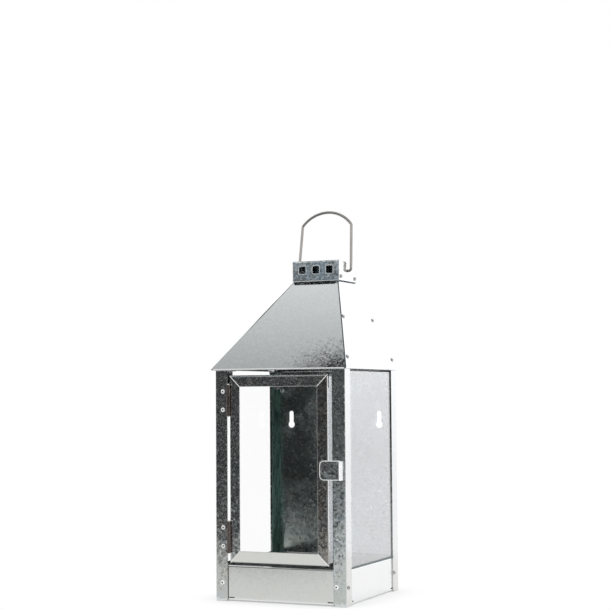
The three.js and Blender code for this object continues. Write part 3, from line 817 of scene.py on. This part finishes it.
def bead(tree, path, width):
    """A round bead along a path."""
    section = {"Resolution": BEAD_SIDES, "Radius": math_node(tree, "MULTIPLY", width, 0.5)}
    section = add_node(tree, "GeometryNodeCurvePrimitiveCircle", section).outputs[0]
    sweep = {"Curve": path, "Profile Curve": section, "Fill Caps": True}
    return add_node(tree, "GeometryNodeCurveToMesh", sweep).outputs[0]


def end_tree(tree, entry, leave, geometry, dimple_shade_finish=None):
    """Ends a tree with one painted mesh, its dimples in a finish of their own: painted shade."""
    solid = add_node(tree, "GeometryNodeRealizeInstances", {0: geometry}).outputs[0]
    paint = {"Geometry": solid, "Material": entry["Finish"]}
    painted = add_node(tree, "GeometryNodeSetMaterial", paint).outputs[0]
    if dimple_shade_finish:
        dimples = attribute(tree, "dimple", "BOOLEAN")
        paint = {"Geometry": painted, "Selection": dimples, "Material": dimple_shade_finish}
        painted = add_node(tree, "GeometryNodeSetMaterial", paint).outputs[0]
    tree.links.new(painted, leave)


def place_on_points(tree, entry, leave, shape, dimple_shade_finish=None):
    """Ends a tree with the shape on every point, turned to its facing."""
    facing = {"Vector": attribute(tree, "facing", "FLOAT_VECTOR")}
    turn = add_node(tree, "FunctionNodeAlignRotationToVector", facing, axis="Z").outputs[0]
    places = {"Points": entry["Geometry"], "Instance": shape, "Rotation": turn}
    placed = add_node(tree, "GeometryNodeInstanceOnPoints", places).outputs[0]
    end_tree(tree, entry, leave, placed, dimple_shade_finish)


def rivet_tree():
    """Points with a facing direction become domed rivet heads with a dimple."""
    tree, entry, leave = new_tree(
        "Rivet Heads", ("Head Diameter", "Head Height"), ("Finish", "Dimple Shade Finish")
    )
    radius = math_node(tree, "MULTIPLY", entry["Head Diameter"], 0.5)
    depth = math_node(tree, "MULTIPLY", entry["Head Height"], RIVET_FOOT * 2)
    foot = {"Vertices": RIVET_SIDES, "Radius": radius, "Depth": depth}
    foot = add_node(tree, "GeometryNodeMeshCylinder", foot).outputs
    shape, top = foot["Mesh"], foot["Top"]
    for rise, size in RIVET_RINGS:
        height = math_node(tree, "MULTIPLY", entry["Head Height"], rise)
        up = add_node(tree, "ShaderNodeCombineXYZ", {2: height}).outputs[0]
        ring = {"Mesh": shape, "Selection": top, "Offset": up, "Individual": False}
        ring = add_node(tree, "GeometryNodeExtrudeMesh", ring, mode="FACES").outputs
        top = ring["Top"]
        resize = {"Geometry": ring["Mesh"], "Selection": top, "Scale": size}
        shape = add_node(tree, "GeometryNodeScaleElements", resize).outputs[0]
    last = {0: top, 1: ring["Side"]}
    dimple = add_node(tree, "FunctionNodeBooleanMath", last, operation="OR").outputs[0]
    mark = add_node(
        tree,
        "GeometryNodeStoreNamedAttribute",
        {"Geometry": shape, "Name": "dimple", "Value": dimple},
        data_type="BOOLEAN",
        domain="FACE",
    )
    place_on_points(tree, entry, leave, mark.outputs[0], entry["Dimple Shade Finish"])
    return tree


def rim_tree():
    """Points with a facing direction become raised rims of punched vents."""
    tree, entry, leave = new_tree("Vent Rims", ("Width", "Height", "Corner", "Thickness"))
    vent = {"Width": entry["Width"], "Height": entry["Height"]}
    vent = add_node(tree, "GeometryNodeCurvePrimitiveQuadrilateral", vent).outputs[0]
    rounded = {"Curve": vent, "Count": VENT_CORNER_STEPS, "Radius": entry["Corner"]}
    rounded = add_node(tree, "GeometryNodeFilletCurve", rounded, mode="POLY").outputs[0]
    place_on_points(tree, entry, leave, bead(tree, rounded, entry["Thickness"]))
    return tree


def seam_tree():
    """Edges become low beads."""
    tree, entry, leave = new_tree("Solder Seams", ("Width",))
    path = add_node(tree, "GeometryNodeMeshToCurve", {0: entry["Geometry"]}).outputs[0]
    end_tree(tree, entry, leave, bead(tree, path, entry["Width"]))
    return tree


def seams(name, lines, width, finish, body):
    """Beads of one finish along lines, as one piece."""
    sizes = {"Width": width, "Finish": finish}
    mesh = run_tree(seam_tree(), lines_mesh(name + "_lines", lines), sizes, name)
    piece_from(name, mesh, body, finish)


# Rivets and vents


def frame_rivets(hinge_spacing):
    """Every rivet of the body, found on the sheet that it goes through."""
    rows = []
    for x, z in FRONT_FOOT_RIVETS:
        hand = "right" if x > 0 else "left"
        rows.append(on_node(f"post_front_{hand}", (x, -REACH, z), (0, 1, 0)))
        rows.append(on_node(f"post_rear_{hand}", (x, REACH, z), (0, -1, 0)))
    for side, hand in ((-1, "left"), (1, "right")):
        out, inward = side * REACH, (-side, 0, 0)
        back, z = FRONT_SIDE_RIVET
        rows.append(on_node(f"post_front_{hand}", (out, FRONT_FACE + back, z), inward))
        forward, z = REAR_SIDE_RIVET
        rows.append(on_node(f"post_rear_{hand}", (out, BACK_FACE - forward, z), inward))
        x, z = PLATE_RIVET
        rows.append(on_node(f"post_rear_{hand}", (side * x, REACH, z), (0, -1, 0)))
        rows.append(on_node("back_plate", (side * x, 0.0, z), (0, 1, 0)))
        for y, z in ROOF_RIVETS:
            rows.append(on_node(f"roof_side_{hand}", (out, y, z), inward))
        for y, z in HOOD_RIVETS:
            rows.append(on_node("chimney_hood", (out, y, z), inward))
    for level in ("upper", "lower"):
        low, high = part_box(f"hinge_leaf_post_{level}")
        for step in (-0.5, 0.5):
            z = (low.z + high.z) / 2 + step * hinge_spacing
            rows.append(on_node("post_front_left", (HINGE_RIVET_X, -REACH, z), (0, 1, 0)))
    return rows


class LANTERN_OT_rivets(bpy.types.Operator):
    """Sets the rivets of the posts, hinges, roof and hood"""

    bl_idname = "lantern.rivets"
    bl_label = "Rivets"

    def execute(self, context):
        settings = context.scene.lantern_rivets
        # Painted light and shade: rivets on the front faces are near white as painted highlight,
        # their dimples near black as painted shade, and rivets on the side faces a darker grey as
        # painted shade
        finish = plated_metal("Highlit Face Rivet", (0.97, 0.98, 0.97), metallic=0.1)
        dimple = plated_metal("Painted Dimple Shade", (0.1, 0.1, 0.1), roughness=(0.4, 0.6))
        shine = plated_metal("Shaded Side Rivet", (0.48, 0.49, 0.48), roughness=(0.1, 0.16))
        tree = rivet_tree()
        rows = frame_rivets(settings.hinge_spacing)
        for name, on_side, paint in (
            ("face_rivets", False, finish), ("side_rivets", True, shine)
        ):
            places = [row for row in rows if (abs(row[1].x) > 0.5) == on_side]
            values = {
                "Head Diameter": settings.head,
                "Head Height": settings.height,
                "Finish": paint,
                "Dimple Shade Finish": dimple,
            }
            mesh = run_tree(tree, points_mesh(name + "_points", places), values, name)
            piece_from(name, mesh, BODY, paint)
        return {"FINISHED"}


class LANTERN_OT_vent_rims(bpy.types.Operator):
    """Raises the rims that the punch left round the hood's vents"""

    bl_idname = "lantern.vent_rims"
    bl_label = "Vent Rims"

    def execute(self, context):
        finish = plated_metal("Punched Edge", (0.74, 0.78, 0.8), metallic=0.5)
        z = HOOD_LOW.z + VENT_ABOVE_EDGE
        rows = [((step * VENT_PITCH, HOOD_LOW.y, z), (0, -1, 0)) for step in (-1, 0, 1)]
        values = {
            "Width": VENT_SIZE[0],
            "Height": VENT_SIZE[1],
            "Corner": VENT_CORNER,
            "Thickness": context.scene.lantern_trim.rim,
            "Finish": finish,
        }
        mesh = run_tree(rim_tree(), points_mesh("vent_points", rows), values, "vent_rims")
        piece_from("vent_rims", mesh, BODY, finish)
        return {"FINISHED"}


# Lines along the sheets' edges


def door_lines(seam):
    """The mitres of the door's frame, and the outline of its opening."""
    left, right = STILE_LOW.x, FAR_STILE_HIGH.x
    bottom, top = STILE_LOW.z, STILE_HIGH.z
    face = DOOR_FACE + seam * 0.25
    run = [
        (DOOR_BEND * (1 - math.sin(turn)), face + DOOR_BEND * (1 - math.cos(turn)))
        for turn in map(math.radians, MITRE_TURNS)
    ]
    run.append((DOOR_FRAME_WIDTH, face))
    mitres, opening = [], []
    for x, z, inward, upward in (
        (left, bottom, 1, 1), (right, bottom, -1, 1), (right, top, -1, -1), (left, top, 1, -1)
    ):
        mitre = [(x + inward * r, y, z + upward * r) for r, y in run]
        mitres.append(mitre)
        opening.append(mitre[-1])
    return mitres, opening + opening[:1]


def door_fold_line():
    """The fold between the face and the latch side of the door's frame."""
    x, y = FAR_STILE_HIGH.x - DOOR_BEND * 0.6, DOOR_FACE + DOOR_BEND * 0.25
    return [(x, y, FAR_STILE_LOW.z + FOLD_END_GAP), (x, y, FAR_STILE_HIGH.z - FOLD_END_GAP)]


def pan_joint_lines():
    """Where the pan's front goes behind the front posts."""
    y, top = FRONT_FACE + JOINT_BACK, PAN_TOP - JOINT_TOP_GAP
    return [[(x, y, JOINT_FOOT), (x, y, top)] for x in (LEFT_POST_HIGH.x, POST_LOW.x)]


def hip_lines(width):
    """The hips between the front slope and the side slopes, from the hood down to the eave.

    They lie deep in the ridge by the hood, so that the bail clears them there. The left one
    sinks away below its middle.
    """
    down = (0, 0, -1)
    front, front_facing = on_node("roof_front", (0, 0, HOOD_HIGH.z), down)
    top, foot = HOOD_LOW.z - HIP_TOP_DROP, EAVE_LOW.z + HIP_FOOT_RISE
    lines = []
    for side, hand, reach in HIP_REACHES:
        slope, facing = on_node(f"roof_side_{hand}", (side * SLOPE_X, 0, HOOD_HIGH.z), down)
        outward = (front_facing + facing).normalized()
        line = []
        for share, sink in HIP_SINKS:
            z = top + (foot - top) * min(share, reach)
            y = (front.dot(front_facing) - front_facing.z * z) / front_facing.y
            x = (slope.dot(facing) - facing.y * y - facing.z * z) / facing.x
            sink = sink if share <= reach else FADED_SINK
            line.append(Vector((x, y, z)) - outward * sink * width)
        lines.append(line)
    return lines


def hood_foot_lines():
    """The foot of the hood's two side walls."""
    front, back = HOOD_LOW.y + HOOD_FOOT_INSET, HOOD_HIGH.y - HOOD_FOOT_INSET
    return [[(x, front, HOOD_LOW.z), (x, back, HOOD_LOW.z)] for x in (HOOD_LOW.x, HOOD_HIGH.x)]


def hood_outline():
    """The folded edges round the hood's front."""
    left, right, foot, top = HOOD_LOW.x, HOOD_HIGH.x, HOOD_LOW.z, HOOD_HIGH.z
    y = HOOD_LOW.y + HOOD_HEM_INSET
    return [(left, y, foot), (right, y, foot), (right, y, top), (left, y, top), (left, y, foot)]


def eave_line():
    z = EAVE_LOW.z + EAVE_HEM_RISE
    return [(EAVE_LOW.x, EAVE_LOW.y, z), (EAVE_HIGH.x, EAVE_LOW.y, z)]


def latch_outline():
    """The tab's sheared edge: along its top, round the free corners and back along its foot."""
    low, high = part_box("latch_tab")
    y, end = high.y - TAB_RIM_BACK, high.x - TAB_RIM_END_GAP
    x = low.x + TAB_CORNER
    line = [(end, y, high.z)]
    for z, start in ((high.z - TAB_CORNER, 90), (low.z + TAB_CORNER, 180)):
        for step in range(TAB_CORNER_STEPS + 1):
            turn = math.radians(start + step * 90 / TAB_CORNER_STEPS)
            line.append((x + TAB_CORNER * math.cos(turn), y, z + TAB_CORNER * math.sin(turn)))
    line.append((end, y, low.z))
    return line


def pane_edge_lines():
    """The foot of each side pane's outer face."""
    lines = []
    for name in ("glass_right", "glass_left"):
        low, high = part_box(name)
        x, z = high.x if high.x > 0 else low.x, low.z + PANE_EDGE_RISE
        lines.append([(x, low.y + PANE_EDGE_INSET, z), (x, high.y - PANE_EDGE_INSET, z)])
    return lines


def skin_side(reach):
    """One side of the door's skin in plan, from the stile's back round its bend."""
    x, y = FAR_STILE_HIGH.x - DOOR_BEND, DOOR_FACE + DOOR_BEND
    bend = [
        (x + reach * math.cos(turn), y - reach * math.sin(turn))
        for turn in map(math.radians, SKIN_TURNS)
    ]
    return [(x + reach, FAR_STILE_HIGH.y - SKIN_BACK_GAP)] + bend


def side_face_mesh(name):
    """A white mirror skin on the latch side of the door frame, painted light, round the sheet's
    bend.
    """
    outline = skin_side(DOOR_BEND + SKIN) + skin_side(DOOR_BEND)[::-1]
    heights = (FAR_STILE_LOW.z + SKIN_END_GAP, FAR_STILE_HIGH.z - SKIN_END_GAP)
    count = len(outline)
    points = [(*point, z) for z in heights for point in outline]
    steps = [(i, (i + 1) % count) for i in range(count)]
    faces = [(a, b, b + count, a + count) for a, b in steps]
    faces += [(i, count - 1 - i, count - 2 - i, i + 1) for i in range(count // 2 - 1)]
    faces += [tuple(i + count for i in reversed(face)) for face in faces[count:]]
    mesh = bpy.data.meshes.new(name)
    mesh.from_pydata(points, [], faces)
    build = bmesh.new()
    build.from_mesh(mesh)
    bmesh.ops.recalc_face_normals(build, faces=build.faces)
    build.to_mesh(mesh)
    build.free()
    return mesh


class LANTERN_OT_door_seams(bpy.types.Operator):
    """Runs solder along the mitres of the door frame, and a hem round its opening"""

    bl_idname = "lantern.door_seams"
    bl_label = "Door Seams"

    def execute(self, context):
        seam = context.scene.lantern_trim.seam
        mitres, opening = door_lines(seam)
        solder = plated_metal("Solder", (0.95, 0.96, 0.95), metallic=0.15)
        seams("door_seams", mitres, seam, solder, DOOR)
        hem = plated_metal("Hem", (0.72, 0.74, 0.72), metallic=0.4)
        seams("door_hem", [opening], seam * 0.6, hem, DOOR)
        return {"FINISHED"}


class LANTERN_OT_roof_edges(bpy.types.Operator):
    """Shows the edges of the roof's sheets and of the hood"""

    bl_idname = "lantern.roof_edges"
    bl_label = "Roof Edges"

    def execute(self, context):
        trim = context.scene.lantern_trim
        shadow = plated_metal(
            "Lap Shadow", (0.03, 0.032, 0.035), metallic=0.0, roughness=(0.5, 0.7)
        )
        seams("hip_edges", hip_lines(trim.hip), trim.hip, shadow, BODY)
        seams("hood_foot", hood_foot_lines(), trim.edge * 0.5, shadow, BODY)
        bright = plated_metal("Polished Edge", (0.72, 0.74, 0.74), metallic=0.6)
        seams("eave_hem", [eave_line()], trim.edge, bright, BODY)
        seams("hood_hem", [hood_outline()], trim.edge * 0.7, bright, BODY)
        return {"FINISHED"}


class LANTERN_OT_latch_side(bpy.types.Operator):
    """Lays painted light on the door's latch side as a mirror skin, and shows the sheared rim of
    its tab with a painted highlight
    """

    bl_idname = "lantern.latch_side"
    bl_label = "Latch Side"

    def execute(self, context):
        edge = context.scene.lantern_trim.edge
        # Painted light: a white mirror skin over the latch side, brighter than the stile's own
        # zinc
        lit_side_mirror = plated_metal("Lit Side Mirror", (1.0, 1.0, 1.0), roughness=(0.02, 0.06))
        skin = side_face_mesh("door_side_face")
        piece_from("door_side_face", skin, DOOR, lit_side_mirror)
        # The tab's sheared edge, partly real and partly a painted highlight: near white and little
        # metallic
        sheared_rim_highlight = plated_metal("Sheared Rim Highlight", (0.93, 0.94, 0.92), metallic=0.2)
        seams("latch_rim", [latch_outline()], edge * 0.8, sheared_rim_highlight, DOOR)
        return {"FINISHED"}


class LANTERN_OT_sheet_joints(bpy.types.Operator):
    """Paints shade as dark lines at the door's fold and the pan's joints"""

    bl_idname = "lantern.sheet_joints"
    bl_label = "Sheet Joints"

    def execute(self, context):
        width = context.scene.lantern_trim.edge * 0.5
        # Painted shade: near-black lines along the fold and where the pan goes behind the posts
        dark = plated_metal("Crease Shade", (0.1, 0.1, 0.1), metallic=0.6, roughness=(0.4, 0.6))
        seams("door_fold", [door_fold_line()], width, dark, DOOR)
        seams("pan_joints", pan_joint_lines(), width, dark, BODY)
        return {"FINISHED"}


class LANTERN_OT_pane_edges(bpy.types.Operator):
    """Draws a dark line at the foot of each side pane"""

    bl_idname = "lantern.pane_edges"
    bl_label = "Pane Edges"

    def execute(self, context):
        width = context.scene.lantern_trim.edge * 2
        pane_foot_dark = plated_metal("Dark Pane Foot Line", (0.05, 0.08, 0.075), metallic=0.2)
        seams("pane_edges", pane_edge_lines(), width, pane_foot_dark, BODY)
        return {"FINISHED"}


# Stage


def seen_directly(tree):
    """1 for rays from the camera, off metal and through glass."""
    path = add_node(tree, "ShaderNodeLightPath").outputs
    seen = math_node(tree, "MAXIMUM", path["Is Camera Ray"], path["Is Glossy Ray"])
    return math_node(tree, "MAXIMUM", seen, path["Is Transmission Ray"])


def white_light(tree):
    white = {"Color": (1, 1, 1, 1), "Strength": SEEN_WHITE}
    return add_node(tree, "ShaderNodeEmission", white).outputs[0]


def front_tones(tree, x, y, z):
    """Light at the floor, dark at the height of the door, lighter again by the hood."""
    right_end = remap(tree, x, *RIGHT_END, 0.0, 1.0)
    height_share = remap(tree, right_end, 0, 1, 1.0, RIGHT_END_HEIGHTS)
    height = math_node(tree, "MULTIPLY", z, height_share)
    tones = add_node(tree, "ShaderNodeValToRGB", {"Fac": height})
    stops = tones.color_ramp.elements
    while len(stops) < len(FRONT_TONES):
        stops.new(1.0)
    for stop, (position, tone) in zip(stops, FRONT_TONES):
        stop.position = position
        stop.color = (tone, tone, tone, 1)
    gain = remap(tree, right_end, 0, 1, 1.0, RIGHT_END_GAIN)
    level = math_node(tree, "MULTIPLY", tones.outputs[0], gain)
    level = math_node(tree, "MINIMUM", level, LIGHTEST_TONE)
    by_hood = remap(tree, z, *HOOD_TONE_HEIGHTS, 0.0, HOOD_TONE)
    level = math_node(tree, "MAXIMUM", level, by_hood)
    above_floor = remap(tree, z, 0.0, FLOOR_TINT_TOP, 0, 1)
    return scaled_colour(tree, mixed_colour(tree, above_floor, FLOOR_TINT, FRONT_TINT), level)


def roof_tones(tree, x, y, z):
    """Lighter towards the back, with a dark patch that the right of the roof mirrors."""
    place = add_node(tree, "ShaderNodeCombineXYZ", {0: x, 1: y}).outputs[0]
    off_patch = vector_node(tree, "SUBTRACT", place, DARK_PATCH)
    off_patch = vector_node(tree, "MULTIPLY", off_patch, DARK_PATCH_SHAPE)
    distance = add_node(tree, "ShaderNodeVectorMath", {0: off_patch}, operation="LENGTH")
    level = math_node(
        tree,
        "MULTIPLY",
        remap(tree, y, *ROOF_TONE_PLACES, *ROOF_TONE_LEVELS),
        remap(tree, distance.outputs["Value"], *DARK_PATCH_REACH, DARK_PATCH_LEVEL, 1.0),
    )
    return scaled_colour(tree, ROOF_TINT, level)


def side_tones(tree, x, y, z):
    """Bright, and a little softer low down, where the right pane mirrors it."""
    level = math_node(
        tree, "ADD", remap(tree, z, *SIDE_TONES), remap(tree, z, *HIGH_SIDE_TONES)
    )
    return scaled_colour(tree, SIDE_TINT, level)


def mirrored_light(name, tone_of):
    """Light in tones for what metal mirrors, and plain white for everything else."""
    material, tree = new_material(name)
    x, y, z = parts_of(tree, object_place(tree))
    tones = add_node(tree, "ShaderNodeEmission", {"Color": tone_of(tree, x, y, z)}).outputs[0]
    bounces = add_node(tree, "ShaderNodeLightPath").outputs["Glossy Depth"]
    mirrored = math_node(tree, "GREATER_THAN", bounces, 0.5)
    shares = {0: mirrored, 1: white_light(tree), 2: tones}
    return finish_material(material, add_node(tree, "ShaderNodeMixShader", shares))


def stage_sheet(name, low, high, material):
    """A flat sheet of the stage between two opposite corners."""
    (left, front, foot), (right, back, top) = low, high
    points = [(left, front, foot), (right, front, foot), (right, back, top), (left, back, top)]
    mesh = bpy.data.meshes.new(name)
    mesh.from_pydata(points, [], [(0, 1, 2, 3)])
    mesh.materials.append(material)
    sheet = bpy.data.objects.new(name, mesh)
    bpy.context.scene.collection.objects.link(sheet)
    return sheet


def make_cards(rows, material):
    """Studio cards that only metal and glass mirror."""
    for name, low, high in rows:
        card = stage_sheet(name, low, high, material)
        card.visible_camera = False
        card.visible_diffuse = False
        card.visible_shadow = False


def make_floor(white_share):
    """A pale floor that shows as white, but for a soft shade close to the object."""
    material, tree = new_material("Pale Floor")
    grey = (FLOOR_GREY, FLOOR_GREY, FLOOR_GREY, 1)
    paint = add_node(tree, "ShaderNodeBsdfDiffuse", {"Color": grey}).outputs[0]
    shade = {"Distance": FLOOR_SHADE}
    shade = add_node(tree, "ShaderNodeAmbientOcclusion", shade).outputs["AO"]
    open_floor = remap(tree, shade, 0.3, 0.97, 1 - white_share, 1.0)
    white = math_node(tree, "MULTIPLY", seen_directly(tree), open_floor)
    shares = {0: white, 1: paint, 2: white_light(tree)}
    finish_material(material, add_node(tree, "ShaderNodeMixShader", shares))
    reach = FLOOR_REACH
    floor = stage_sheet("floor", (-reach, -reach, 0), (reach, reach, 0), material)
    floor.location.z = -FLOOR_DROP


def make_world():
    world = bpy.data.worlds.new("Studio")
    world.use_nodes = True
    tree = world.node_tree
    tree.nodes.clear()
    strength = remap(tree, seen_directly(tree), 0, 1, ROOM_LIGHT, SEEN_WHITE)
    room = {"Color": (1, 1, 1, 1), "Strength": strength}
    room = add_node(tree, "ShaderNodeBackground", room).outputs[0]
    add_node(tree, "ShaderNodeOutputWorld", {"Surface": room})
    bpy.context.scene.world = world


def make_lamp(name, place, width, power):
    light = bpy.data.lights.new(name, "AREA")
    light.size = width
    light.energy = power
    lamp = bpy.data.objects.new(name, light)
    bpy.context.scene.collection.objects.link(lamp)
    lamp.location = place
    lamp.rotation_euler = (LAMP_TARGET - Vector(place)).to_track_quat("-Z", "Y").to_euler()
    lamp.visible_camera = False
    lamp.visible_glossy = False
    lamp.visible_transmission = False


def make_camera():
    data = bpy.data.cameras.new("Camera")
    data.lens = CAMERA_LENS
    data.sensor_width = CAMERA_SENSOR
    data.clip_start, data.clip_end = 0.05, 50.0
    camera = bpy.data.objects.new("Camera", data)
    bpy.context.scene.collection.objects.link(camera)
    turn = (
        Matrix.Rotation(math.radians(CAMERA_YAW), 4, "Z")
        @ Matrix.Rotation(math.radians(90 + CAMERA_RISE), 4, "X")
        @ Matrix.Rotation(math.radians(CAMERA_ROLL), 4, "Z")
    )
    camera.matrix_world = Matrix.Translation(CAMERA_PLACE) @ turn
    bpy.context.scene.camera = camera


class LANTERN_OT_stage(bpy.types.Operator):
    """Sets the floor, the studio cards, the lamps and the camera"""

    bl_idname = "lantern.stage"
    bl_label = "Stage"

    def execute(self, context):
        make_floor(context.scene.lantern_stage.floor_white)
        make_world()
        make_cards(FRONT_CARDS, mirrored_light("Front Tones", front_tones))
        make_cards(ROOF_CARDS, mirrored_light("Roof Tones", roof_tones))
        make_cards(SIDE_CARDS, mirrored_light("Side Tones", side_tones))
        for lamp in LAMPS:
            make_lamp(*lamp)
        make_camera()
        context.scene.view_settings.view_transform = "Standard"
        return {"FINISHED"}


class LANTERN_PT_panel(bpy.types.Panel):
    """Lists the lantern's steps and settings"""

    bl_label = "Lantern"
    bl_idname = "LANTERN_PT_panel"
    bl_space_type = "VIEW_3D"
    bl_region_type = "UI"
    bl_category = "Lantern"

    def draw(self, context):
        layout = self.layout
        for name, settings in SETTINGS:
            column = layout.column()
            for setting in settings.__annotations__:
                column.prop(getattr(context.scene, name), setting)
        for step in STEPS:
            layout.operator(step.bl_idname)


SETTINGS = (
    ("lantern_sheet", SheetSettings),
    ("lantern_rivets", RivetSettings),
    ("lantern_trim", TrimSettings),
    ("lantern_stage", StageSettings),
)
STEPS = (
    LANTERN_OT_sheet_finish,
    LANTERN_OT_small_finishes,
    LANTERN_OT_rivets,
    LANTERN_OT_vent_rims,
    LANTERN_OT_door_seams,
    LANTERN_OT_roof_edges,
    LANTERN_OT_latch_side,
    LANTERN_OT_sheet_joints,
    LANTERN_OT_pane_edges,
    LANTERN_OT_stage,
)


def register():
    for name, settings in SETTINGS:
        bpy.utils.register_class(settings)
        setattr(bpy.types.Scene, name, bpy.props.PointerProperty(type=settings))
    for step in STEPS:
        bpy.utils.register_class(step)
    bpy.utils.register_class(LANTERN_PT_panel)


def unregister():
    bpy.utils.unregister_class(LANTERN_PT_panel)
    for step in reversed(STEPS):
        bpy.utils.unregister_class(step)
    for name, settings in reversed(SETTINGS):
        delattr(bpy.types.Scene, name)
        bpy.utils.unregister_class(settings)


def run(step):
    area, name = step.bl_idname.split(".")
    if getattr(getattr(bpy.ops, area), name)() != {"FINISHED"}:
        raise RuntimeError(f"{step.bl_label} didn't finish")


def main():
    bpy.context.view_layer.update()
    register()
    for step in STEPS:
        run(step)


if __name__ == "__main__":
    main()
